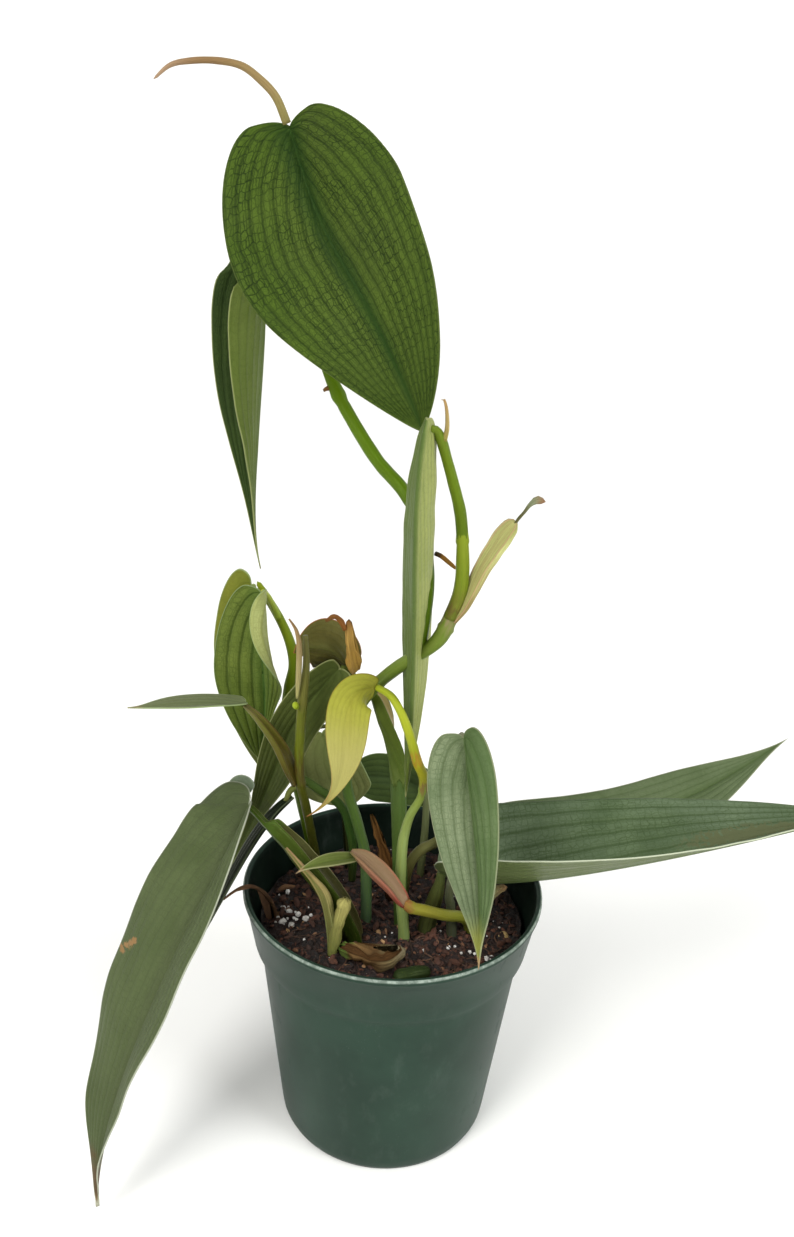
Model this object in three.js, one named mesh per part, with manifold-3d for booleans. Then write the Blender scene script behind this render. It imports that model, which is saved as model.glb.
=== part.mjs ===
// A potted climbing aroid in a tapered nursery pot. Millimetres, +Z up.
// The origin is on the table under the middle of the pot; -Y faces the viewer.
import * as THREE from "three";
import { mergeVertices } from "three/addons/utils/BufferGeometryUtils.js";
import Module from "manifold-3d";

const wasm = await Module();
wasm.setup();

// Pot
const POT_HEIGHT = 104.4;
const POT_RIM_RADIUS = 57.15;
const POT_BAND_FOOT_RADIUS = 53;
const POT_BAND_HEIGHT = 21.4;
const POT_WALL_TOP_RADIUS = 50.5;
const POT_BASE_RADIUS = 41.3;
const POT_WALL = 1.6;
const POT_FLOOR = 2;
const POT_SIDES = 48;
const DRAIN_COUNT = 6;
const DRAIN_RADIUS = 4.5;
const DRAIN_RING_RADIUS = 30;

// Potting mix
const SOIL_LEVEL = 89;
const SOIL_FALL_BACK = 0.05;
const SOIL_LUMP = 1.6;
const FIT_GAP = 0.3;

// Blades and stalks
const BLADE_THICKNESS = 0.7;
const STALK_SIDES = 8;
const WING_THICKNESS = 0.8;
const SINK_DEPTH = 22;

// Colours
const COLOUR = {
  pot: 0x1d3a30,
  soil: 0x2a1c14,
  bark: 0xb79a6a,
  topLeaf: 0x3f5f1e,
  freshGreen: 0x5f8a26,
  midGreen: 0x456b2c,
  darkGreen: 0x24331f,
  greyGreen: 0x4d5f47,
  silverGreen: 0x6f8a6a,
  paleGreen: 0x9fb37c,
  yellowGreen: 0xb2bd3e,
  yellow: 0xc9c35a,
  olive: 0x4a4a20,
  pinkBrown: 0x8d6152,
  tan: 0xa98a5c,
  brown: 0x7a4420,
};

function material(color, roughness) {
  return new THREE.MeshStandardMaterial({ color, roughness, metalness: 0 });
}

function toSolid(geometry) {
  const bare = geometry.clone();
  bare.deleteAttribute("normal");
  bare.deleteAttribute("uv");
  const merged = mergeVertices(bare, 1e-3);
  return new wasm.Manifold(new wasm.Mesh({
    numProp: 3,
    vertProperties: new Float32Array(merged.attributes.position.array),
    triVerts: new Uint32Array(merged.index.array),
  }));
}

function toGeometry(solid) {
  const mesh = solid.getMesh();
  const geometry = new THREE.BufferGeometry();
  geometry.setAttribute("position", new THREE.BufferAttribute(mesh.vertProperties, 3));
  geometry.setIndex(new THREE.BufferAttribute(mesh.triVerts, 1));
  geometry.computeVertexNormals();
  return geometry;
}

function largestBody(solid) {
  const bodies = solid.decompose();
  return bodies.reduce((best, body) => (body.volume() > best.volume() ? body : best));
}

function meshFrom(points, triangles) {
  const geometry = new THREE.BufferGeometry();
  const flat = new Float32Array(points.length * 3);
  points.forEach((point, index) => point.toArray(flat, index * 3));
  geometry.setAttribute("position", new THREE.BufferAttribute(flat, 3));
  geometry.setIndex(triangles);
  return geometry;
}

function vec(place) {
  return new THREE.Vector3(place[0], place[1], place[2]);
}

// A cubic curve through four places at even parameters.
function cubicThrough(places) {
  const [a, b, c, d] = places.map(vec);
  const first = a.clone().multiplyScalar(-5).addScaledVector(b, 18).addScaledVector(c, -9)
    .addScaledVector(d, 2).divideScalar(6);
  const second = a.clone().multiplyScalar(2).addScaledVector(b, -9).addScaledVector(c, 18)
    .addScaledVector(d, -5).divideScalar(6);
  return new THREE.CubicBezierCurve3(a, first, second, d);
}

// Half of a blade laid flat: distance along the rib and distance from it, notch to tip.
function halfOutline(length, leaf, cells) {
  const half = leaf.width / 2;
  const widest = leaf.widest * length;
  const rest = length - widest;
  const lobeCells = Math.max(2, Math.floor(cells / 6));
  const bodyCells = cells - lobeCells;
  const shoulder = (leaf.shoulder ?? 0.42) * half;
  const full = leaf.full ?? 0.6;
  const back = leaf.lobe > 0 ? -leaf.lobe : 0;
  const v2 = (x, y) => new THREE.Vector2(x, y);
  const lobe = leaf.lobe > 0
    ? [v2(0, 0), v2(0.45 * back, 0.04 * half), v2(back, 0.1 * half), v2(back, shoulder)]
    : [v2(0, 0), v2(-0.01 * length, 0.2 * shoulder), v2(-0.015 * length, 0.5 * shoulder), v2(0, shoulder)];
  const body = [v2(back, shoulder), v2(back, shoulder + full * (half - shoulder)),
    v2(widest - 0.5 * (widest - back), half), v2(widest, half)];
  const end = [v2(widest, half), v2(widest + 0.45 * rest, half),
    v2(length - leaf.tip * rest, 0.1 * half), v2(length, 0)];
  const bodyFirst = Math.floor(bodyCells / 2);
  const sample = (four, count) => new THREE.CubicBezierCurve(...four).getPoints(count);
  const outline = [...sample(lobe, lobeCells), ...sample(body, bodyFirst).slice(1),
    ...sample(end, bodyCells - bodyFirst).slice(1)];
  return { outline, lobeCells };
}

// A blade bent along its rib, each half with its own fold angle at the rib and at the edge; left holds
// the values that differ on the second half.
// grow widens and thickens it, for the room that a neighbour needs round it.
function bladeGeometry(leaf, grow = 0) {
  const cells = leaf.cells ?? 16;
  const rows = leaf.rows ?? 4;
  const curve = cubicThrough(leaf.rib);
  curve.arcLengthDivisions = 400;
  const length = curve.getLength();
  const half = leaf.width / 2;
  const halves = {
    1: halfOutline(length, leaf, cells),
    "-1": halfOutline(length, { ...leaf, ...leaf.left }, cells),
  };
  const lift = (leaf.thickness ?? BLADE_THICKNESS) / 2 + grow;
  const faceStart = vec(leaf.face[0]).normalize();
  const faceEnd = vec(leaf.face[1]).normalize();
  const upper = [];
  const lower = [];
  const middleAlong = ({ outline, lobeCells }, step) => {
    const lobeEnd = outline[lobeCells].x;
    return step <= lobeCells
      ? 0.03 * length * step / lobeCells
      : 0.03 * length + 0.97 * length * (outline[step].x - lobeEnd) / (length - lobeEnd);
  };
  const place = (side, step, row) => {
    const share = row / rows;
    const edge = halves[side].outline[step];
    const narrow = side > 0 ? 1 : leaf.narrow ?? 1;
    const along = middleAlong(halves[side], step) * (1 - share) + edge.x * share;
    const across = edge.y * share * narrow;
    const inside = Math.min(Math.max(along, 0), length);
    const spot = curve.getPointAt(inside / length);
    const tangent = curve.getTangentAt(inside / length);
    spot.addScaledVector(tangent, along - inside);
    let ease = inside / length;
    ease = ease * ease * (3 - 2 * ease);
    const face = faceStart.clone().multiplyScalar(1 - ease).addScaledVector(faceEnd, ease).normalize();
    face.addScaledVector(tangent, -face.dot(tangent)).normalize();
    const sideways = new THREE.Vector3().crossVectors(tangent, face).multiplyScalar(side);
    const at = side > 0 ? 0 : 2;
    const mix = (index) => THREE.MathUtils.degToRad(
      leaf.fold[0][index] * (1 - ease) + leaf.fold[1][index] * ease);
    const ribFold = mix(at);
    const edgeFold = mix(at + 1);
    const bend = (edgeFold - ribFold) / (half * narrow);
    const angle = ribFold + bend * across;
    const straight = Math.abs(bend) < 1e-6;
    const out = straight ? across * Math.cos(ribFold) : (Math.sin(angle) - Math.sin(ribFold)) / bend;
    const rise = straight ? across * Math.sin(ribFold) : (Math.cos(ribFold) - Math.cos(angle)) / bend;
    const wave = (leaf.wave ?? 0) * share * share * Math.sin(2 * Math.PI * (leaf.waves ?? 2) * along / length + side);
    spot.addScaledVector(sideways, out).addScaledVector(face, rise + wave);
    const normal = row === 0
      ? face.clone().multiplyScalar(1 / Math.max(0.6, Math.cos((mix(0) + mix(2)) / 2)))
      : face.clone().multiplyScalar(Math.cos(angle)).addScaledVector(sideways, -Math.sin(angle));
    if (row === rows && grow > 0) {
      const outward = sideways.clone().multiplyScalar(Math.cos(angle)).addScaledVector(face, Math.sin(angle));
      spot.addScaledVector(outward, grow);
    }
    return [spot.clone().addScaledVector(normal, lift), spot.clone().addScaledVector(normal, -lift)];
  };
  const index = new Map();
  const corner = (side, step, row) => {
    const pole = step === 0 || step === cells;
    const key = pole ? `pole${step}` : row === 0 ? `rib${step}` : `${side}/${step}/${row}`;
    if (!index.has(key)) {
      const [top, under] = place(side, step, pole ? 0 : row);
      if (pole && grow > 0) {
        const out = curve.getTangentAt(step === 0 ? 0 : 1).multiplyScalar(step === 0 ? -grow : grow);
        top.add(out);
        under.add(out);
      }
      index.set(key, upper.length);
      upper.push(top);
      lower.push(under);
    }
    return index.get(key);
  };
  const faces = [];
  const rim = [];
  for (const side of [1, -1]) {
    const triangle = (a, b, c) => {
      if (a !== b && b !== c && c !== a) {
        faces.push(side > 0 ? [a, b, c] : [a, c, b]);
      }
    };
    for (let step = 0; step < cells; step += 1) {
      for (let row = 0; row < rows; row += 1) {
        const a = corner(side, step, row);
        const b = corner(side, step + 1, row);
        const c = corner(side, step + 1, row + 1);
        const d = corner(side, step, row + 1);
        triangle(a, d, c);
        triangle(a, c, b);
      }
      const from = corner(side, step, rows);
      const to = corner(side, step + 1, rows);
      rim.push(side > 0 ? [from, to] : [to, from]);
    }
  }
  const count = upper.length;
  const triangles = [];
  faces.forEach(([a, b, c]) => {
    triangles.push(a, c, b);
    triangles.push(a + count, b + count, c + count);
  });
  rim.forEach(([from, to]) => {
    triangles.push(from, to + count, from + count);
    triangles.push(from, to, to + count);
  });
  const solidMesh = meshFrom([...upper, ...lower], triangles);
  return facingOut(solidMesh);
}

function facingOut(geometry) {
  const position = geometry.attributes.position;
  const index = geometry.index.array;
  const [a, b, c] = [new THREE.Vector3(), new THREE.Vector3(), new THREE.Vector3()];
  let volume = 0;
  for (let k = 0; k < index.length; k += 3) {
    a.fromBufferAttribute(position, index[k]);
    b.fromBufferAttribute(position, index[k + 1]);
    c.fromBufferAttribute(position, index[k + 2]);
    volume += a.dot(b.cross(c));
  }
  if (volume < 0) {
    const turned = Array.from(index);
    for (let k = 0; k < turned.length; k += 3) {
      [turned[k + 1], turned[k + 2]] = [turned[k + 2], turned[k + 1]];
    }
    geometry.setIndex(turned);
  }
  return geometry;
}

// Ring of a plain stalk, or of a channelled one whose two wings stand up wing millimetres.
function stalkRing(radius, wing, grow) {
  const ring = [];
  if (wing === undefined) {
    for (let k = 0; k < STALK_SIDES; k += 1) {
      const angle = (k + 0.5) / STALK_SIDES * 2 * Math.PI;
      ring.push([(radius + grow) * Math.cos(angle), (radius + grow) * Math.sin(angle)]);
    }
    return ring;
  }
  const outer = radius + grow;
  for (let k = 0; k <= 6; k += 1) {
    const angle = Math.PI + k / 6 * Math.PI;
    ring.push([outer * Math.cos(angle), outer * Math.sin(angle)]);
  }
  const thick = Math.min(WING_THICKNESS, radius * 0.6) + 2 * grow;
  const floor = grow > 0 ? Math.max(wing, 0.35 * radius) : Math.min(0.35 * radius, wing);
  ring.push([outer, wing + grow]);
  ring.push([outer - thick, wing + grow]);
  ring.push([0, floor + grow]);
  ring.push([-outer + thick, wing + grow]);
  ring.push([-outer, wing + grow]);
  return ring;
}

// A stalk swept through the listed places, with a radius at each and, for a sheath, a wing height.
function stalkGeometry(stalk, grow = 0) {
  const places = stalk.path.map(vec);
  if (stalk.sunk) {
    const foot = places[places.length - 1].clone();
    foot.z -= SINK_DEPTH;
    places.push(foot);
  }
  const radii = [...stalk.radii];
  const wings = stalk.wings ? [...stalk.wings] : undefined;
  if (stalk.sunk) {
    radii.push(radii[radii.length - 1] * 0.8);
    wings?.push(wings[wings.length - 1]);
  }
  const curve = new THREE.CatmullRomCurve3(places, false, "catmullrom", 0.5);
  const parts = places.length > 5 ? 1 : 2;
  const count = (places.length - 1) * parts;
  const between = (list, t) => {
    const x = t * (list.length - 1);
    const k = Math.min(Math.floor(x), list.length - 2);
    return list[k] + (list[k + 1] - list[k]) * (x - k);
  };
  const points = [];
  const sides = stalkRing(1, wings ? 0 : undefined, 0).length;
  let across = vec(stalk.open ?? [0.3, 1, 0.2]).normalize();
  for (let k = 0; k <= count; k += 1) {
    const t = k / count;
    const spot = curve.getPoint(t);
    const tangent = curve.getTangent(t);
    if (k === 0 && grow > 0) {
      spot.addScaledVector(tangent, -grow);
    }
    if (k === count && grow > 0) {
      spot.addScaledVector(tangent, grow);
    }
    const reference = wings ? vec(stalk.open).normalize() : across;
    const up = reference.clone().addScaledVector(tangent, -reference.dot(tangent)).normalize();
    across = up;
    const side = new THREE.Vector3().crossVectors(tangent, up);
    const ring = stalkRing(between(radii, t), wings ? between(wings, t) : undefined, grow);
    ring.forEach(([x, y]) => {
      points.push(spot.clone().addScaledVector(side, x).addScaledVector(up, y));
    });
  }
  const triangles = [];
  for (let k = 0; k < count; k += 1) {
    for (let j = 0; j < sides; j += 1) {
      const next = (j + 1) % sides;
      const a = k * sides + j;
      const b = k * sides + next;
      const c = (k + 1) * sides + next;
      const d = (k + 1) * sides + j;
      triangles.push(a, b, c, a, c, d);
    }
  }
  const capCentre = (base) => {
    const middle = new THREE.Vector3();
    for (let j = 0; j < sides; j += 1) {
      middle.add(points[base + j]);
    }
    points.push(middle.divideScalar(sides));
    return points.length - 1;
  };
  const start = capCentre(0);
  const finish = capCentre(count * sides);
  for (let j = 0; j < sides; j += 1) {
    const next = (j + 1) % sides;
    triangles.push(start, next, j);
    triangles.push(finish, count * sides + j, count * sides + next);
  }
  return facingOut(meshFrom(points, triangles));
}

// ---- pot ----
function potProfile() {
  const bandFoot = POT_HEIGHT - POT_BAND_HEIGHT;
  const outer = [
    [0, 0], [POT_BASE_RADIUS - 3, 0], [POT_BASE_RADIUS - 0.9, 0.8], [POT_BASE_RADIUS, 3],
    [POT_WALL_TOP_RADIUS, bandFoot - 1.2], [POT_BAND_FOOT_RADIUS - 0.6, bandFoot - 0.6],
    [POT_BAND_FOOT_RADIUS, bandFoot], [POT_RIM_RADIUS - 0.8, POT_HEIGHT - 3],
    [POT_RIM_RADIUS, POT_HEIGHT - 2], [POT_RIM_RADIUS, POT_HEIGHT - 0.6], [POT_RIM_RADIUS - 0.6, POT_HEIGHT],
  ];
  const inner = [
    [POT_RIM_RADIUS - 1.9, POT_HEIGHT], [POT_RIM_RADIUS - 2.4, POT_HEIGHT - 0.6],
    [POT_BAND_FOOT_RADIUS - POT_WALL, bandFoot + 0.4], [POT_WALL_TOP_RADIUS - POT_WALL, bandFoot - 1.6],
    [POT_BASE_RADIUS - POT_WALL, POT_FLOOR + 1.5], [POT_BASE_RADIUS - POT_WALL - 1.5, POT_FLOOR], [0, POT_FLOOR],
  ];
  return { outer, inner };
}

function lathe(profile) {
  const points = profile.map(([x, y]) => new THREE.Vector2(x, y));
  const geometry = new THREE.LatheGeometry(points, POT_SIDES);
  geometry.rotateX(Math.PI / 2);
  return geometry;
}

function potSolid() {
  const { outer, inner } = potProfile();
  let solid = toSolid(facingOut(lathe([...outer, ...inner])));
  for (let k = 0; k < DRAIN_COUNT; k += 1) {
    const angle = (k + 0.5) / DRAIN_COUNT * 2 * Math.PI;
    const drain = new THREE.CylinderGeometry(DRAIN_RADIUS, DRAIN_RADIUS, 12, 14);
    drain.rotateX(Math.PI / 2);
    drain.translate(DRAIN_RING_RADIUS * Math.cos(angle), DRAIN_RING_RADIUS * Math.sin(angle), 0);
    solid = solid.subtract(toSolid(drain));
  }
  return solid;
}

// Height of the mix: a mound at the front left, falling to the back right, with lumps.
function soilHeight(x, y) {
  const mound = 4.5 * Math.exp(-((x + 18) ** 2 + (y + 30) ** 2) / 700);
  const lumps = SOIL_LUMP * (Math.sin(x * 0.41 + 1.3) * Math.sin(y * 0.37 + 0.4)
    + 0.55 * Math.sin(x * 0.93 + y * 0.71) * Math.cos(y * 1.07 - x * 0.33));
  return SOIL_LEVEL + mound - SOIL_FALL_BACK * y + lumps * 0.6;
}

function soilSolid() {
  const bandFoot = POT_HEIGHT - POT_BAND_HEIGHT;
  const wall = POT_WALL + FIT_GAP;
  const bed = POT_FLOOR + FIT_GAP;
  const rings = [];
  const levels = [[POT_BASE_RADIUS - wall - 1.7, bed], [POT_BASE_RADIUS - wall, bed + 1.7],
    [POT_WALL_TOP_RADIUS - wall - 0.1, bandFoot - 1.9]];
  const ring = (radius, level) => {
    const row = [];
    for (let k = 0; k < POT_SIDES; k += 1) {
      const angle = k / POT_SIDES * 2 * Math.PI;
      const x = radius * Math.sin(angle);
      const y = -radius * Math.cos(angle);
      row.push(new THREE.Vector3(x, y, level === undefined ? soilHeight(x, y) : level));
    }
    rings.push(row);
  };
  levels.forEach(([radius, level]) => ring(radius, level));
  [50.4, 45, 38.5, 31.5, 24, 16, 8].forEach((radius) => ring(radius));
  const points = rings.flat();
  const foot = points.push(new THREE.Vector3(0, 0, bed)) - 1;
  const top = points.push(new THREE.Vector3(0, 0, soilHeight(0, 0))) - 1;
  const triangles = [];
  for (let r = 0; r + 1 < rings.length; r += 1) {
    for (let k = 0; k < POT_SIDES; k += 1) {
      const next = (k + 1) % POT_SIDES;
      const a = r * POT_SIDES + k;
      const b = r * POT_SIDES + next;
      triangles.push(a, b, b + POT_SIDES, a, b + POT_SIDES, a + POT_SIDES);
    }
  }
  const last = (rings.length - 1) * POT_SIDES;
  for (let k = 0; k < POT_SIDES; k += 1) {
    const next = (k + 1) % POT_SIDES;
    triangles.push(foot, next, k);
    triangles.push(top, last + k, last + next);
  }
  return toSolid(facingOut(meshFrom(points, triangles)));
}

// ---- blades ----
const LEAVES = {
  top_leaf: {
    rib: [[-42.5, 6, 369], [-30, -9, 341], [-17, -24, 323], [2, -36, 288.5]],
    face: [[0, -1, 0.35], [0, -1, -0.1]],
    width: 60.6, widest: 0.36, lobe: 3.2, tip: 0, shoulder: 0.36, full: 0.42,
    left: { width: 61.6, lobe: 1.6, shoulder: 0.34, full: 0.55 },
    fold: [[1, -8, 58, 12], [11, 0, 11, 22]],
    cells: 20, rows: 4, wave: 0.6, waves: 3,
    colour: COLOUR.topLeaf, roughness: 0.45,
  },
  folded_leaf: {
    rib: [[3, -48, 294.5], [1.5, -54, 262.5], [3, -55, 220], [2.5, -50, 171.5]],
    face: [[0, 1, 0], [0, 1, 0]],
    width: 32, widest: 0.47, lobe: 0, tip: 0.15,
    fold: [[59, 78, 88, 66], [52, 84, 68, 86]],
    cells: 16, rows: 3,
    colour: COLOUR.paleGreen, roughness: 0.5,
  },
  rear_hanging_leaf: {
    rib: [[-55, 12, 329], [-52, 20, 308.5], [-55.5, 24, 263], [-54, 24, 220.5]],
    face: [[-1, -0.3, 0], [-1, -0.3, 0]],
    width: 35, widest: 0.22, lobe: 1.5, tip: 0.45,
    fold: [[80, 80, 30, 78], [67, 65, 15, 65]],
    cells: 16, rows: 3,
    colour: COLOUR.midGreen, roughness: 0.5,
  },
  yellow_leaf: {
    rib: [[-9.5, -22, 197], [-17.5, -32, 191.5], [-18.5, -36, 173.5], [-30.5, -34, 153]],
    face: [[-0.3, -1, 0.1], [0.4, -1, 0]],
    width: 14.6, widest: 0.25, lobe: 0.3, tip: 0.52,
    fold: [[22, -13, 1, -22], [15, 4, 8, -2]],
    cells: 14, rows: 2,
    colour: COLOUR.yellow, roughness: 0.5,
  },
  dark_rear_leaf: {
    rib: [[-23, 6, 190.5], [-39.5, 3, 167], [-48.5, 10, 139.5], [-75.5, 22, 72.5]],
    face: [[0, -1, 0.6], [-0.3, -1, 0.2]],
    width: 18, widest: 0.17, lobe: 1.2, tip: 0.7,
    fold: [[40, 14, 9, 5], [30, 25, 21, 19]],
    cells: 14, rows: 3,
    colour: COLOUR.darkGreen, roughness: 0.5,
  },
  striped_leaf: {
    rib: [[-53.5, 22, 212], [-53, 19, 189], [-52, 19.5, 165], [-54.5, 24, 141.5]],
    face: [[-0.3, -1, 0.4], [-0.1, -1, 0]],
    width: 35, widest: 0.36, lobe: 1.9, tip: 0, narrow: 0.7,
    left: { widest: 0.5 },
    fold: [[-2, -4, 15, 170], [23, 1, 0, -10]],
    cells: 16, rows: 3,
    colour: COLOUR.midGreen, roughness: 0.5,
  },
  pale_rear_leaf: {
    rib: [[-57, 34, 213], [-65, 38, 196.5], [-68.5, 44, 149], [-56.5, 44, 125.5]],
    face: [[-0.3, -1, 0.4], [0.1, -1, 0]],
    width: 13.5, widest: 0.4, lobe: 1, tip: 0.39,
    fold: [[6, -14, 15, -5], [4, -11, 20, 20]],
    cells: 12, rows: 2,
    colour: COLOUR.yellowGreen, roughness: 0.55,
  },
  edge_on_leaf: {
    rib: [[-55, -8, 182], [-68, -14, 183.5], [-80.5, -22, 186], [-91, -30, 189]],
    face: [[0, 0.35, 1], [0, 0.35, 1]],
    width: 14.2, widest: 0.4, lobe: 0, tip: 0.3,
    fold: [[24, 17, 1, 1], [25, 18, -1, 3]],
    cells: 10, rows: 2,
    colour: COLOUR.greyGreen, roughness: 0.6,
  },
  curled_olive_leaf: {
    rib: [[-20.5, 9, 190], [-26, 6.5, 197], [-33, 4.5, 199], [-39.5, 3, 197]],
    face: [[0.2, 1, -0.4], [0.4, 1, 0.2]],
    width: 22, widest: 0.5, lobe: 1, tip: 0.2,
    fold: [[15, 28, 37, 47], [5, 24, 31, 39]],
    cells: 10, rows: 2,
    colour: COLOUR.olive, roughness: 0.55,
  },
  long_left_leaf: {
    rib: [[-52.5, -12, 142.5], [-68, -38, 115], [-90, -58, 62.5], [-101, -68, 5.5]],
    face: [[-0.4, -1, 1], [-1, -0.8, 0.4]],
    width: 53, widest: 0.375, lobe: 9, tip: 0.17, narrow: 0.7,
    left: { lobe: 2, shoulder: 0.25 },
    fold: [[5, -17, 70, 19], [21, -23, 35, 4]],
    cells: 20, rows: 4, wave: 0.8, waves: 4,
    colour: COLOUR.greyGreen, roughness: 0.55,
  },
  dark_left_leaf: {
    rib: [[-42, 3, 135], [-58, -6, 110], [-74.5, -13, 82], [-89.5, -19, 50.5]],
    face: [[-0.4, -1, 0.8], [-0.8, -1, 0.4]],
    width: 13, widest: 0.36, lobe: 3, tip: 0.18,
    fold: [[10, 0, 33, 32], [10, 0, 23, 23]],
    cells: 12, rows: 2,
    colour: COLOUR.darkGreen, roughness: 0.55,
  },
  small_leaf: {
    rib: [[-13.5, -20, 128], [-20.5, -26, 130.5], [-28, -31, 131.5], [-34, -34, 129.5]],
    face: [[0, -0.4, 1], [0, -0.4, 1]],
    width: 6, widest: 0.42, lobe: 0, tip: 0.24,
    fold: [[21, 20, 18, 19], [20, 20, 17, 19]],
    cells: 8, rows: 2,
    colour: COLOUR.midGreen, roughness: 0.5,
  },
  silver_leaf: {
    rib: [[21.5, -26, 182], [25, -44, 162.5], [28, -53, 143], [30.5, -53, 108]],
    face: [[0, -1, 0.5], [0, -1, -0.1]],
    width: 28, widest: 0.21, lobe: 2.1, tip: 0.5,
    fold: [[-5, -14, 80, 21], [5, -9, 70, 32]],
    cells: 16, rows: 3,
    colour: COLOUR.silverGreen, roughness: 0.5,
  },
  long_right_leaf: {
    rib: [[18, -6, 113.5], [51.5, -8, 114], [108, -6, 127.5], [167.5, 0, 144]],
    face: [[0, -0.3, 1], [0, -0.3, 1]],
    width: 66, widest: 0.14, lobe: 5.3, tip: 0,
    fold: [[63, 69, 16, 11], [57, 35, 22, 9]],
    cells: 20, rows: 4,
    colour: COLOUR.midGreen, roughness: 0.5,
  },
  rear_right_leaf: {
    rib: [[41.5, 24, 118.5], [89, 34, 116.5], [126.5, 48, 124], [162.5, 62, 142.5]],
    face: [[0, -0.55, 1], [0, -0.8, 1]],
    width: 26, widest: 0.5, lobe: 2.5, tip: 0.29,
    fold: [[11, 10, 10, 4], [14, 8, 13, 6]],
    cells: 16, rows: 3,
    colour: COLOUR.greyGreen, roughness: 0.5,
  },
  low_rear_leaf: {
    rib: [[9, 40, 130], [-5, 43, 124], [-20, 40, 121], [-34, 34, 119]],
    face: [[0, -1, 0.5], [0, -1, 0.5]],
    width: 24, widest: 0.35, lobe: 2, tip: 0.4,
    fold: [[10, 0, 10, 0], [10, 0, 10, 0]],
    cells: 10, rows: 2,
    colour: COLOUR.darkGreen, roughness: 0.55,
  },
  low_middle_leaf: {
    rib: [[-32.5, 29, 153.5], [-33, 25, 143.5], [-29, 25, 130], [-23, 25, 117]],
    face: [[0.1, -1, 0.5], [0, -1, 0.5]],
    width: 16, widest: 0.4, lobe: 1.5, tip: 0.4,
    fold: [[10, 0, 10, 0], [10, 0, 10, 0]],
    cells: 10, rows: 2,
    colour: COLOUR.greyGreen, roughness: 0.55,
  },
};

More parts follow.
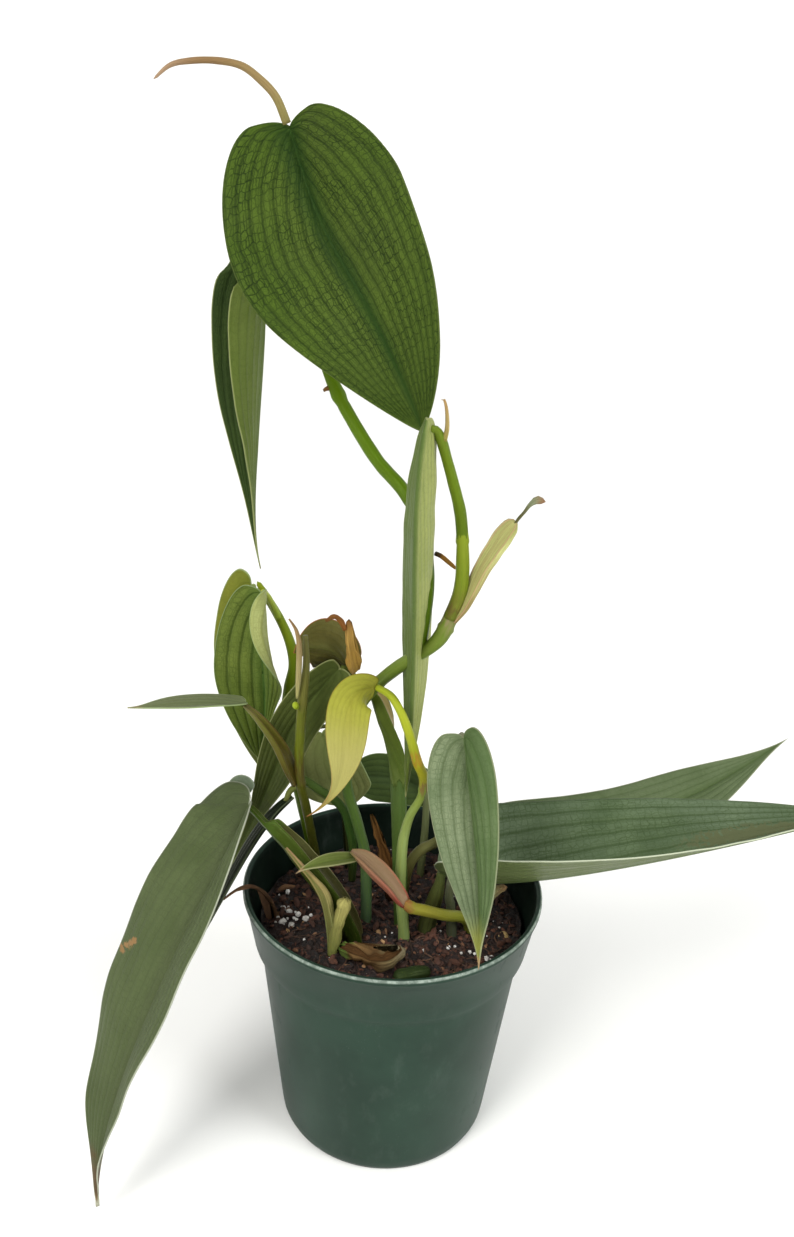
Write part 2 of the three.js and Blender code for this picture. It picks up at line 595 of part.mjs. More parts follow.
// ---- stalks ----
const STALKS = {
  top_shoot: {
    path: [[-43.3, 6, 370], [-46.5, 5, 377], [-51, 4, 381.5], [-56.5, 3, 385], [-64, 2, 386],
      [-71, 0, 385.5], [-76.5, -2, 384], [-81, -4, 380]],
    radii: [1.3, 1.3, 1.2, 1.1, 1, 0.9, 0.7, 0.35],
    colour: COLOUR.tan, roughness: 0.6,
  },
  upper_stem: {
    path: [[-43, 7.5, 369.4], [-41.5, 7.5, 357], [-38.6, 7, 334], [-33, 3, 310], [-27, -4, 295],
      [-20.5, -10, 285], [-11.5, -18, 274], [-2.5, -26, 266.5], [3.5, -31, 256.5], [6, -33, 242.5],
      [5.8, -33.5, 229.5], [4.4, -31, 215.5]],
    radii: [1.2, 1.5, 1.8, 1.9, 2.1, 2.1, 2.1, 2.1, 2, 2.1, 2.1, 2.2],
    colour: COLOUR.freshGreen, roughness: 0.4,
  },
  rear_petiole: {
    path: [[-54.5, 12, 330], [-49.5, 10, 334], [-43.5, 8, 336.5], [-39.5, 6, 333]],
    radii: [1, 1.1, 1.3, 1.4],
    colour: COLOUR.freshGreen, roughness: 0.4,
  },
  folded_leaf_petiole: {
    path: [[3.8, -46, 291.5], [6, -44.6, 290.6], [7.7, -43.8, 287.2], [9.5, -43, 281.8],
      [11.5, -41.8, 275.5], [14.6, -39.7, 264.5], [16.2, -37.5, 251], [16.4, -36.2, 239],
      [14, -35.8, 229.5]],
    radii: [1, 1.3, 1.6, 1.6, 1.7, 1.8, 2, 2.3, 2.5],
    colour: COLOUR.freshGreen, roughness: 0.4,
  },
  middle_stem: {
    path: [[14.6, -35.9, 231.5], [11.2, -34.8, 222.5], [7, -32, 216.5], [-1.5, -23, 206],
      [-9.5, -10, 192], [-15.5, -1, 178.5], [-19.5, 8, 160.5], [-19.5, 11, 139.5], [-14.5, 7, 124.5],
      [-11, 3, 111.5], [-9.5, -8.5, 90]],
    radii: [2.3, 2.5, 2.2, 2.2, 2.3, 2.2, 2, 2.1, 2.1, 2.1, 2.1],
    sunk: true,
    colour: COLOUR.freshGreen, roughness: 0.4,
  },
  node_sheath: {
    path: [[13.5, -38, 224.5], [16.6, -37.6, 230], [19.4, -37.4, 238.4], [22.2, -37, 246.3],
      [25.2, -36.5, 251.8], [28, -36, 256.9], [30.2, -36, 260.4], [31.6, -36, 262]],
    radii: [1.1, 1.7, 2.2, 2.6, 2.8, 2.8, 2.3, 1],
    wings: [0.2, 0.4, 0.6, 0.7, 0.7, 0.6, 0.4, 0.1],
    open: [-0.9, -0.7, 0.2],
    colour: COLOUR.tan, roughness: 0.5,
  },
  sheath_tip: {
    path: [[31.9, -36, 262.6], [34, -36, 265.5], [36, -36, 268.2], [38.2, -36, 269.3],
      [40.2, -36, 268.8]],
    radii: [0.5, 0.5, 0.6, 1.3, 0.5],
    colour: COLOUR.tan, roughness: 0.7,
  },
  yellow_leaf_petiole: {
    path: [[-8.5, -22, 197.5], [-5, -22, 197], [-0.5, -21, 192], [3.5, -20, 183.5], [6.5, -19, 174.5],
      [9, -18, 164.5], [8, -17, 157], [5, -17, 147.5], [3, -16, 134.5], [3, -15, 121], [5, -19, 94.5]],
    radii: [1.2, 1.4, 1.4, 1.5, 1.7, 1.7, 1.4, 1.6, 1.8, 1.8, 2.1],
    sunk: true,
    colour: COLOUR.yellowGreen, roughness: 0.4,
  },
  left_group_petiole: {
    path: [[-56.5, 33, 212], [-52.5, 32, 206], [-47, 29, 198], [-43, 26, 190], [-41.5, 24, 182],
      [-43, 23, 172.5], [-44, 24, 157], [-40, 27, 130], [-34, 27, 101], [-32, 26, 88]],
    radii: [0.9, 1.5, 1.7, 1.9, 2.1, 2.3, 2.1, 2.2, 2, 2],
    sunk: true,
    colour: COLOUR.freshGreen, roughness: 0.4,
  },
  dry_shoot: {
    path: [[-40, -8, 215], [-38, -8, 212], [-36.5, -8.5, 208], [-36, -9, 200], [-36, -9.5, 190.5],
      [-36, -10, 183.5]],
    radii: [0.3, 0.7, 1, 1.4, 1.4, 1.1],
    colour: COLOUR.tan, roughness: 0.7,
  },
  rear_stalk: {
    path: [[-34.5, -5, 207.5], [-34, -6, 196.5], [-34.5, -8, 184], [-35, -10, 171.5], [-35.5, -11, 161.5],
      [-35, -11, 152.5], [-33.5, -6, 140], [-32, 0, 125.5], [-30.5, 8, 108], [-29, 16, 88]],
    radii: [0.7, 1, 1.6, 1.6, 1.6, 1.8, 1.7, 1.7, 1.8, 1.8],
    sunk: true,
    colour: COLOUR.olive, roughness: 0.45,
  },
  left_node_sheath: {
    path: [[-54.5, -9, 181.5], [-49.5, -10, 177], [-43, -11, 168], [-38.5, -11.5, 159.5], [-36, -12, 154]],
    radii: [0.9, 1.6, 2.2, 2, 1.5],
    wings: [0.4, 1.4, 2, 1.4, 0.6],
    open: [0.6, -0.3, 0.8],
    colour: COLOUR.olive, roughness: 0.5,
  },
  left_petiole_base: {
    path: [[-52, -12, 142.5], [-48, -15, 140.3], [-42.5, -18.2, 136.4], [-36, -20.5, 130],
      [-28, -22, 120.5], [-19.5, -23, 107], [-12, -22, 91]],
    radii: [1.5, 1.8, 2, 2.6, 3.8, 4.8, 5.4],
    wings: [0.3, 0.4, 0.6, 2.4, 4, 3.6, 2],
    open: [0.85, 0.1, 0.6],
    sunk: true,
    colour: COLOUR.midGreen, roughness: 0.45,
  },
  dry_pale_sheath: {
    path: [[-37.5, -26, 134], [-31.5, -28, 128], [-27, -30, 120], [-24, -31, 110], [-21.5, -31, 96]],
    radii: [0.7, 1.4, 2.1, 3, 3.2],
    wings: [0.3, 1.4, 2.2, 3.2, 1.6],
    open: [0.45, -0.9, 0.4],
    sunk: true,
    colour: COLOUR.tan, roughness: 0.7,
  },
  small_leaf_stem: {
    path: [[-12.8, -20, 128.6], [-8, -24, 129], [-1, -27, 123], [4.5, -28, 116], [12, -26, 111],
      [19.5, -20, 105], [27, -13, 99], [30, -8, 90]],
    radii: [0.7, 2.1, 2.7, 2.1, 1.8, 1.8, 1.9, 1.9],
    sunk: true,
    colour: COLOUR.pinkBrown, roughness: 0.55,
  },
  grey_stalk: {
    path: [[-15, 4, 186.5], [-11, 3, 184], [-6.5, 0.5, 175], [-2.5, -1.5, 163], [-0.5, -3, 150.5],
      [1, -5, 136.5], [2.5, -6, 116.5], [4, -7, 92]],
    radii: [1.4, 2.4, 3.2, 3.1, 2.6, 2.4, 2.4, 2.6],
    wings: [0.8, 2.2, 2.8, 2.4, 1.2, 0.8, 0.8, 0.8],
    open: [1, -0.3, 0.25],
    sunk: true,
    colour: COLOUR.greyGreen, roughness: 0.5,
  },
  right_leaf_petiole: {
    path: [[18, -6, 113.8], [17.6, -6.6, 110], [16.2, -7.4, 104], [14.4, -8.4, 97], [13, -10, 88]],
    radii: [1.6, 1.9, 2.6, 3, 3.2],
    wings: [0.2, 0.6, 1.6, 2, 1.4],
    open: [0.5, 0.8, 0.3],
    sunk: true,
    colour: COLOUR.olive, roughness: 0.45,
  },
  dry_sheath_stub: {
    path: [[-20.2, 4.5, 210.5], [-20, 4, 205], [-19.2, 4, 199], [-18, 5.5, 193], [-17.5, 7.6, 189]],
    radii: [0.8, 1.3, 1.8, 2.2, 1.6],
    wings: [0.2, 0.8, 1.2, 1.4, 0.6],
    open: [0.6, -0.8, 0.1],
    colour: COLOUR.brown, roughness: 0.75,
  },
  aerial_root: {
    path: [[8, -32.5, 249.3], [9.5, -32, 248.5], [12.5, -31, 246], [15, -30, 243.5]],
    radii: [0.6, 0.6, 0.6, 0.35],
    colour: COLOUR.brown, roughness: 0.7,
  },
  brown_dry_stalk: {
    path: [[-14.5, 19, 128], [-10, 15, 120.5], [-5.5, 12, 111], [-2, 10, 100], [0, 10, 89]],
    radii: [1, 1.7, 2.1, 1.9, 1.8],
    wings: [0.4, 1, 1.4, 1, 0.4],
    open: [0.2, -0.9, 0.4],
    sunk: true,
    colour: COLOUR.brown, roughness: 0.75,
  },
  silver_leaf_petiole: {
    path: [[21.5, -25.6, 182.4], [20.4, -22.8, 179.5], [20.5, -26, 163], [21, -29.5, 142], [21, -28, 131],
      [20.8, -20.5, 118.5], [21, -15, 109], [22, -12.2, 103], [23.2, -11, 88]],
    radii: [1, 1.3, 1.4, 1.5, 1.5, 1.6, 1.7, 1.8, 2],
    sunk: true,
    colour: COLOUR.darkGreen, roughness: 0.5,
  },
  right_stub: {
    path: [[43.4, -7.5, 109], [40.6, -8, 108.3], [38.4, -8, 103.6], [37, -8, 92]],
    radii: [1, 1.6, 1.5, 1.4],
    sunk: true,
    colour: COLOUR.tan, roughness: 0.7,
  },
  side_root: {
    path: [[-62.5, -17, 104.5], [-57, -14, 107.6], [-52, -11, 106.6], [-47, -9, 101], [-44, -8, 92]],
    radii: [0.4, 0.6, 0.7, 0.7, 0.7],
    sunk: true,
    colour: COLOUR.brown, roughness: 0.7,
  },
  dry_curled_leaf: {
    path: [[-21, -31, 98], [-16, -35, 98.6], [-11, -37.5, 98.4], [-6, -38.6, 97], [-1, -38.6, 97.6],
      [3, -37.5, 99.6], [5, -36.5, 102.6], [3, -36, 104]],
    radii: [2.2, 2.8, 3.2, 3, 2.8, 2.2, 1.5, 0.7],
    wings: [1.4, 2.4, 3.2, 3, 2.4, 1.8, 1, 0.3],
    open: [-0.2, -0.2, 0.95],
    lies: true,
    colour: COLOUR.brown, roughness: 0.75,
  },
  lying_stem: {
    path: [[1.5, -42, 93.4], [6, -41, 94], [10.5, -39.4, 94], [15, -37, 93]],
    radii: [2.2, 2.6, 2.6, 2],
    lies: true,
    colour: COLOUR.freshGreen, roughness: 0.45,
  },
  dry_strip: {
    path: [[-46, 12, 88.4], [-42, 13.5, 89.6], [-38, 14, 89]],
    radii: [0.7, 1.1, 0.6],
    lies: true,
    colour: COLOUR.brown, roughness: 0.75,
  },
  bark_chip: {
    path: [[40.5, -8, 88], [43.5, -10, 88.6], [46, -12.5, 88]],
    radii: [1, 1.7, 0.9],
    lies: true,
    colour: COLOUR.bark, roughness: 0.9,
  },
  brown_ligule: {
    path: [[8.9, -44.8, 289.6], [8.9, -45, 293], [8.4, -45, 297], [7.6, -45, 299.6], [6.6, -45, 299.6]],
    radii: [0.8, 0.65, 0.5, 0.35, 0.25],
    colour: COLOUR.brown, roughness: 0.7,
  },
  striped_leaf_petiole: {
    path: [[-53, 22, 212.4], [-51.5, 25, 209.5], [-49.5, 28, 203.5], [-48, 29, 199.5]],
    radii: [0.9, 1.1, 1.3, 1.4],
    colour: COLOUR.freshGreen, roughness: 0.4,
  },
  dark_rear_petiole: {
    path: [[-22.6, 6.2, 190.8], [-19, 8.5, 188], [-17.5, 6.5, 180], [-18, 4.5, 171.5]],
    radii: [0.9, 1.4, 1.5, 1.5],
    colour: COLOUR.darkGreen, roughness: 0.45,
  },
  low_rear_petiole: {
    path: [[9, 40, 130], [11.5, 38, 123], [12, 33, 108], [11, 29, 88]],
    radii: [1, 1.3, 1.5, 1.6],
    sunk: true,
    colour: COLOUR.darkGreen, roughness: 0.5,
  },
  low_middle_petiole: {
    path: [[-32.3, 29.4, 153.8], [-28, 33, 151], [-24, 35, 135], [-21, 34, 108], [-19, 32, 87]],
    radii: [0.8, 1.1, 1.3, 1.5, 1.6],
    sunk: true,
    colour: COLOUR.darkGreen, roughness: 0.5,
  },
  rear_right_petiole: {
    path: [[41.5, 24, 118.6], [34, 20.5, 121.5], [24.5, 16, 119.5], [15.3, 10, 116.1], [10.1, 6, 115.3],
      [6.4, 3.6, 111], [4.8, 3, 103], [4.2, 4, 87]],
    radii: [1.1, 1.5, 1.8, 2, 2.1, 2, 1.9, 1.9],
    sunk: true,
    colour: COLOUR.darkGreen, roughness: 0.5,
  },
  dark_left_petiole: {
    path: [[-41.8, 3.4, 135.4], [-40.5, 6, 138.5], [-37, 9, 139], [-29, 13, 133], [-24, 14, 122],
      [-21, 13, 106], [-20, 11, 88]],
    radii: [1, 1.2, 1.5, 1.7, 1.8, 1.8, 1.9],
    sunk: true,
    colour: COLOUR.darkGreen, roughness: 0.5,
  },
};

function solidOf(name, grow = 0) {
  return LEAVES[name] ? toSolid(bladeGeometry(LEAVES[name], grow)) : toSolid(stalkGeometry(STALKS[name], grow));
}

// A piece keeps clear of the pieces named after it, by the fit gap.
const MAKE_ROOM = {
  top_shoot: ["upper_stem"],
  rear_petiole: ["upper_stem"],
  rear_hanging_leaf: ["rear_petiole"],
  middle_stem: ["folded_leaf_petiole"],
  upper_stem: ["middle_stem"],
  node_sheath: ["folded_leaf_petiole", "middle_stem"],
  sheath_tip: ["node_sheath"],
  aerial_root: ["upper_stem"],
  brown_ligule: ["folded_leaf_petiole"],
  striped_leaf_petiole: ["left_group_petiole"],
  dry_shoot: ["rear_stalk"],
  left_node_sheath: ["rear_stalk"],
  dark_rear_petiole: ["middle_stem"],
  dry_sheath_stub: ["dark_rear_leaf", "dark_rear_petiole", "curled_olive_leaf"],
  top_leaf: ["upper_stem", "top_shoot"],
  folded_leaf: ["folded_leaf_petiole"],
  yellow_leaf: ["yellow_leaf_petiole"],
  pale_rear_leaf: ["left_group_petiole"],
  striped_leaf: ["striped_leaf_petiole"],
  edge_on_leaf: ["left_node_sheath"],
  dark_rear_leaf: ["dark_rear_petiole"],
  long_left_leaf: ["left_petiole_base"],
  dark_left_leaf: ["dark_left_petiole"],
  small_leaf: ["small_leaf_stem"],
  long_right_leaf: ["right_leaf_petiole"],
  rear_right_leaf: ["rear_right_petiole"],
  low_rear_leaf: ["low_rear_petiole"],
  low_middle_leaf: ["low_middle_petiole"],
  silver_leaf: ["silver_leaf_petiole"],
  curled_olive_leaf: ["dark_rear_petiole"],
  dry_curled_leaf: ["dry_pale_sheath"],
};

const plant = new THREE.Group();

function addNode(name, solid, colour, roughness) {
  const mesh = new THREE.Mesh(toGeometry(solid), material(colour, roughness));
  mesh.name = name;
  plant.add(mesh);
}

addNode("pot", potSolid(), COLOUR.pot, 0.45);

let mix = soilSolid();
Object.entries(STALKS).filter(([, stalk]) => stalk.sunk || stalk.lies).forEach(([name]) => {
  mix = mix.subtract(solidOf(name, FIT_GAP));
});
addNode("soil", largestBody(mix), COLOUR.soil, 0.95);

for (const [name, piece] of [...Object.entries(STALKS), ...Object.entries(LEAVES)]) {
  let solid = solidOf(name);
  for (const neighbour of MAKE_ROOM[name] ?? []) {
    solid = solid.subtract(solidOf(neighbour, FIT_GAP));
  }
  addNode(name, largestBody(solid), piece.colour, piece.roughness);
}

plant.rotation.set(0, 0, 0);
export default plant;
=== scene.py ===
"""A potted climbing aroid in a tapered nursery pot. Lengths are in millimetres until a mesh is made."""
import bisect
import math
import random

import bmesh
import bpy
from mathutils import Matrix, Vector, noise


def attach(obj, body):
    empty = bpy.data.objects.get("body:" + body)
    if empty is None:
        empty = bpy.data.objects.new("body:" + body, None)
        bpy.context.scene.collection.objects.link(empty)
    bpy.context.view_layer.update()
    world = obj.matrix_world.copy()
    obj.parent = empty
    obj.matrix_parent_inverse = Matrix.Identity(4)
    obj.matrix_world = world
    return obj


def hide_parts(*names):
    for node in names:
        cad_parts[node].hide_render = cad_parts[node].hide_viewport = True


MM = 0.001
WELD = 2e-6
SHADER_MM = 0.01
RIB_STEPS = 160
STALK_STEPS = 240
SUNK_DEPTH = 14
BLADE_THICKNESS = 0.5
RELIEF_DEPTH = 0.0004
GREEN_SHEEN = "#e6ffb0"
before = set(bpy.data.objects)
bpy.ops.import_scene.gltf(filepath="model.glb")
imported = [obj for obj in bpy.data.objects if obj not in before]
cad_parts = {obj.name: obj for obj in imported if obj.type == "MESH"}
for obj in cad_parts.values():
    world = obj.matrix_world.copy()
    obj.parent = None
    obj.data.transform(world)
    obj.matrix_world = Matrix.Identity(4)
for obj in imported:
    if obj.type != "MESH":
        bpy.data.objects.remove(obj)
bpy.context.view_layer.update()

# The pot's sizes, as in the part's source
POT_HEIGHT = 104.4
RIM_RADIUS = 57.15
BAND_FOOT_RADIUS = 53.0
BAND_HEIGHT = 21.4
WALL_TOP_RADIUS = 50.5
BASE_RADIUS = 41.3
WALL = 1.6
FLOOR = 2.0
DRAINS, DRAIN_RADIUS, DRAIN_RING = 6, 4.5, 30.0

# Camera
LENS = 33.47
SENSOR = 36.0
EYE = Vector((0.0, -0.3693, 0.3661))
PITCH, YAW, ROLL = math.radians(22.45), math.radians(-0.5), math.radians(2.7)


def new_object(name, data):
    made = bpy.data.objects.new(name, data)
    bpy.context.scene.collection.objects.link(made)
    return made


def make_camera():
    forward = Vector((math.sin(YAW) * math.cos(PITCH), math.cos(YAW) * math.cos(PITCH), -math.sin(PITCH)))
    level_right = Vector((math.cos(YAW), -math.sin(YAW), 0))
    level_up = level_right.cross(forward)
    right = level_right * math.cos(ROLL) + level_up * math.sin(ROLL)
    up = right.cross(forward)
    lens = bpy.data.cameras.new("camera")
    lens.lens = LENS
    lens.sensor_width = SENSOR
    lens.clip_start, lens.clip_end = 0.01, 20
    made = new_object("camera", lens)
    turn = Matrix((right, up, -forward)).transposed()
    made.matrix_world = Matrix.Translation(EYE) @ turn.to_4x4()
    bpy.context.scene.camera = made


# Material helpers
def rgb(text):
    parts = [int(text[k:k + 2], 16) / 255 for k in (1, 3, 5)]
    linear = [p / 12.92 if p <= 0.04045 else ((p + 0.055) / 1.055) ** 2.4 for p in parts]
    return (*linear, 1.0)


def add(tree, kind, inputs=None, **settings):
    made = tree.nodes.new(kind)
    for key, value in settings.items():
        setattr(made, key, value)
    for key, value in (inputs or {}).items():
        if isinstance(value, bpy.types.NodeSocket):
            tree.links.new(value, made.inputs[key])
        else:
            made.inputs[key].default_value = value
    return made


def calc(tree, operation, *values):
    return add(tree, "ShaderNodeMath", dict(enumerate(values)), operation=operation).outputs[0]


def times(tree, first, second):
    return calc(tree, "MULTIPLY", first, second)


def plus(tree, first, second):
    return calc(tree, "ADD", first, second)


def less(tree, first, second):
    return calc(tree, "SUBTRACT", first, second)


def vector_calc(tree, operation, first, second):
    return add(tree, "ShaderNodeVectorMath", {0: first, 1: second}, operation=operation).outputs[0]


def span(tree, value, low, high, to_low=0.0, to_high=1.0):
    """value eased from one range of levels to another."""
    inputs = {0: value, 1: low, 2: high, 3: to_low, 4: to_high}
    return add(tree, "ShaderNodeMapRange", inputs, interpolation_type="SMOOTHSTEP").outputs[0]


def mix(tree, factor, first, second):
    inputs = {0: factor, 6: first, 7: second}
    return add(tree, "ShaderNodeMix", inputs, data_type="RGBA").outputs[2]


def tinted(tree, colour, mask, strength, tint):
    """colour with a tint over it where the mask shows."""
    return mix(tree, times(tree, mask, strength), colour, rgb(tint))


def grain(tree, vector, scale, detail=3.0, roughness=0.5, distortion=0.0):
    inputs = {"Vector": vector, "Scale": scale, "Detail": detail, "Roughness": roughness,
              "Distortion": distortion}
    return add(tree, "ShaderNodeTexNoise", inputs).outputs[0]


def patches(tree, low, high, vector, scale, *settings):
    """A mask of soft patches: grain spread out between two of its levels."""
    return span(tree, grain(tree, vector, scale, *settings), low, high)


def stretch(tree, vector, scale):
    return add(tree, "ShaderNodeMapping", {"Vector": vector, "Scale": scale}).outputs[0]


def ramp(tree, value, stops):
    made = add(tree, "ShaderNodeValToRGB", {0: value})
    made.color_ramp.interpolation = "EASE"
    points = made.color_ramp.elements
    while len(points) < len(stops):
        points.new(0.5)
    for point, (place, colour) in zip(points, stops):
        point.position = place
        point.color = rgb(colour)
    return made.outputs[0]


def new_group(name, vectors, values, outputs):
    tree = bpy.data.node_groups.new(name, "ShaderNodeTree")
    for kind, labels in (("NodeSocketVector", vectors), ("NodeSocketFloat", values)):
        for label in labels:
            tree.interface.new_socket(label, in_out="INPUT", socket_type=kind)
    for label in outputs:
        tree.interface.new_socket(label, in_out="OUTPUT", socket_type="NodeSocketFloat")
    return tree, add(tree, "NodeGroupInput").outputs, add(tree, "NodeGroupOutput").inputs


def put_out(tree, out, masks):
    for label, mask in masks.items():
        tree.links.new(mask, out[label])
    return tree


def place_group(tree, group, inputs):
    return add(tree, "ShaderNodeGroup", inputs, node_tree=group).outputs


def uv_of(tree, layer):
    return add(tree, "ShaderNodeUVMap", uv_map=layer).outputs[0]


def object_place(tree):
    return add(tree, "ShaderNodeTexCoord").outputs["Object"]


def finish_material(tree, colour, roughness, height=None, strength=0.3, distance=0.0005, **sockets):
    shader = add(tree, "ShaderNodeBsdfPrincipled", {"Base Color": colour, "Roughness": roughness})
    for key, value in sockets.items():
        shader.inputs[key.replace("_", " ")].default_value = value
    if height is not None:
        bump = add(tree, "ShaderNodeBump", {"Height": height, "Strength": strength, "Distance": distance})
        tree.links.new(bump.outputs[0], shader.inputs["Normal"])
    out = add(tree, "ShaderNodeOutputMaterial")
    tree.links.new(shader.outputs[0], out.inputs[0])


def new_material(name):
    made = bpy.data.materials.new(name)
    made.use_nodes = True
    made.node_tree.nodes.clear()
    return made, made.node_tree


# Shader effects that several finishes share
CELLS_IN_ROW = 2
FAN = 0.6
FAN_FADE = 6.25


def make_leaf_net():
    """What every blade shows: its rib, the veins that fan out of it, the net of cells between them, the
    margin, the half on the left of the rib, soft patches of colour, and the relief that goes with them."""
    tree, given, out = new_group(
        "leaf_net", ["Share", "Span", "Place"], ["Rows", "Crosses", "Fan"],
        ["Rib", "Zone", "Veins", "Net", "Mesh", "Margin", "Left", "Mottle", "Broad", "Patch", "Relief",
         "Along"])
    share = add(tree, "ShaderNodeSeparateXYZ", {0: given["Share"]}).outputs
    reach = add(tree, "ShaderNodeSeparateXYZ", {0: given["Span"]}).outputs
    side = less(tree, share[0], 0.5)
    across = times(tree, calc(tree, "ABSOLUTE", side), 2.0)
    behind = calc(tree, "MAXIMUM", share[1], 0.0)
    pull = times(tree, calc(tree, "EXPONENT", times(tree, behind, -FAN_FADE)), given["Fan"])
    fan = plus(tree, across, times(tree, pull, less(tree, 1.0, across)))
    sway = less(tree, grain(tree, stretch(tree, given["Share"], (2, 5, 1)), 2.0, 2.0), 0.5)
    rows = times(tree, plus(tree, fan, times(tree, sway, 0.07)), given["Rows"])
    other_half = times(tree, calc(tree, "SIGN", side), 37.0)
    column = plus(tree, times(tree, rows, CELLS_IN_ROW), other_half)
    crosses = times(tree, share[1], given["Crosses"])
    flat = add(tree, "ShaderNodeCombineXYZ", {0: column, 1: crosses}).outputs[0]
    wobble = add(tree, "ShaderNodeTexNoise", {"Vector": flat, "Scale": 0.8, "Detail": 2.0}).outputs[1]
    wobble = vector_calc(tree, "SUBTRACT", wobble, (0.5, 0.5, 0.5))
    cells = vector_calc(tree, "ADD", flat, vector_calc(tree, "MULTIPLY", wobble, (0.9, 0.9, 0.0)))
    clear = span(tree, grain(tree, given["Share"], 6.0, 2.0), 0.35, 0.65, 0.55, 1.0)
    seen = times(tree, clear, span(tree, plus(tree, reach[0], reach[1]), 0.015, 0.07))
    lines = []
    for scale, spread, width in ((1.0, 0.55, 0.12), (2.3, 1.0, 0.16)):
        near = add(tree, "ShaderNodeTexVoronoi", {"Vector": cells, "Scale": scale, "Randomness": spread},
                   voronoi_dimensions="2D", feature="DISTANCE_TO_EDGE").outputs["Distance"]
        lines.append(span(tree, near, 0.0, width, 1.0, 0.0))
    between_cells = calc(tree, "PINGPONG", plus(tree, column, 0.5), 0.5)
    net = calc(tree, "MAXIMUM", lines[0], span(tree, between_cells, 0.0, 0.13, 0.9, 0.0))
    net = times(tree, net, seen)
    veins = span(tree, calc(tree, "PINGPONG", rows, 0.5), 0.0, 0.22, 1.0, 0.0)
    widening = times(tree, less(tree, 1.12, behind), 0.085)
    zone = calc(tree, "DIVIDE", reach[0], calc(tree, "MAXIMUM", widening, 0.01))
    mottle = patches(tree, 0.35, 0.68, given["Place"], 55.0, 4.0, 0.6)
    patch = patches(tree, 0.4, 0.75, given["Place"], 700.0, 2.0)
    relief = less(tree, times(tree, net, -0.6), times(tree, veins, 0.6))
    return put_out(tree, out, {
        "Rib": span(tree, reach[0], 0.0, 0.007, 1.0, 0.0), "Zone": span(tree, zone, 0.0, 1.0, 1.0, 0.0),
        "Veins": veins, "Net": net, "Mesh": times(tree, lines[1], seen),
        "Margin": span(tree, reach[1], 0.0008, 0.0045, 1.0, 0.0),
        "Left": span(tree, share[0], 0.49, 0.505, 1.0, 0.0),
        "Mottle": mottle, "Broad": patches(tree, 0.35, 0.65, given["Place"], 17.0, 2.0), "Patch": patch,
        "Relief": plus(tree, relief, times(tree, patch, 0.2)),
        "Along": plus(tree, share[1], times(tree, less(tree, mottle, 0.5), 0.05))})


def make_stalk_grain():
    """What every stalk shows: lengthwise fibres, blotches and specks, seamless round it, and where a
    sheath's inner face and its rims lie."""
    tree, given, out = new_group("stalk_grain", ["Share", "Span"], ["Ribs"],
                                 ["Fibre", "Blotch", "Speck", "Inner", "Rim", "Relief", "Along"])
    share = add(tree, "ShaderNodeSeparateXYZ", {0: given["Share"]}).outputs
    length = add(tree, "ShaderNodeSeparateXYZ", {0: given["Span"]}).outputs
    turn = times(tree, share[0], 2 * math.pi)
    ring = {0: calc(tree, "COSINE", turn), 1: calc(tree, "SINE", turn), 2: length[1]}
    wrapped = add(tree, "ShaderNodeCombineXYZ", ring).outputs[0]
    fibre = patches(tree, 0.3, 0.7, stretch(tree, wrapped, (1.0, 1.0, 1.2)), given["Ribs"], 3.0, 0.6)
    blotch = patches(tree, 0.35, 0.65, stretch(tree, wrapped, (0.8, 0.8, 8.0)), 1.4, 3.0, 0.6)
    speck = patches(tree, 0.62, 0.74, stretch(tree, wrapped, (5.0, 5.0, 60.0)), 2.2, 2.0, 0.6)
    rims = [span(tree, calc(tree, "ABSOLUTE", less(tree, share[0], place)), 0.0, 0.025, 1.0, 0.0)
            for place in (0.607, 0.0, 0.965)]
    return put_out(tree, out, {
        "Fibre": fibre, "Blotch": blotch, "Speck": speck,
        "Inner": times(tree, span(tree, share[0], 0.63, 0.66), span(tree, share[0], 0.92, 0.94, 1.0, 0.0)),
        "Rim": calc(tree, "MAXIMUM", rims[0], calc(tree, "MAXIMUM", rims[1], rims[2])),
        "Relief": plus(tree, fibre, times(tree, speck, 0.4)),
        "Along": plus(tree, share[1], times(tree, blotch, 0.04))})


def make_pot_marks():
    """What the pot's plastic shows: clouds of colour, dust, dried splashes, and the lip's pale edge, partly
    chipped plastic and partly a painted highlight.
    """
    tree, given, out = new_group("pot_marks", ["Place"], [], ["Cloud", "Dust", "Splash", "Worn_edge_and_highlight", "Relief"])
    place = given["Place"]
    parts = add(tree, "ShaderNodeSeparateXYZ", {0: place}).outputs
    dust = patches(tree, 0.5, 0.8, stretch(tree, place, (1, 1, 0.45)), 160.0, 5.0, 0.7)
    speck = patches(tree, 0.68, 0.74, place, 1500.0, 2.0, 0.6)
    square = plus(tree, calc(tree, "POWER", parts[0], 2.0), calc(tree, "POWER", parts[1], 2.0))
    radius = calc(tree, "SQRT", square)
    # The lip's pale edge: chipped plastic and a thin line of painted highlight.
    lip = times(tree, span(tree, parts[2], (POT_HEIGHT - 1.3) * MM, (POT_HEIGHT - 0.5) * MM),
                span(tree, radius, (RIM_RADIUS - 0.75) * MM, (RIM_RADIUS - 0.45) * MM))
    chips = patches(tree, 0.42, 0.66, place, 300.0, 5.0, 0.75)
    return put_out(tree, out, {
        "Cloud": patches(tree, 0.35, 0.7, place, 26.0, 4.0, 0.6), "Dust": dust,
        "Splash": times(tree, speck, patches(tree, 0.5, 0.7, place, 60.0, 2.0)),
        "Worn_edge_and_highlight": times(tree, lip, plus(tree, times(tree, chips, 0.6), 0.4)),
        "Relief": plus(tree, times(tree, dust, 0.5), times(tree, speck, 0.6))})


def make_pits():
    """The pitted skin of loose grains in the mix."""
    tree, given, out = new_group("pits", ["Place"], [], ["Pits"])
    return put_out(tree, out, {
        "Pits": grain(tree, stretch(tree, given["Place"], (1.0, 1.0, 2.0)), 900.0, 3.0, 0.7)})


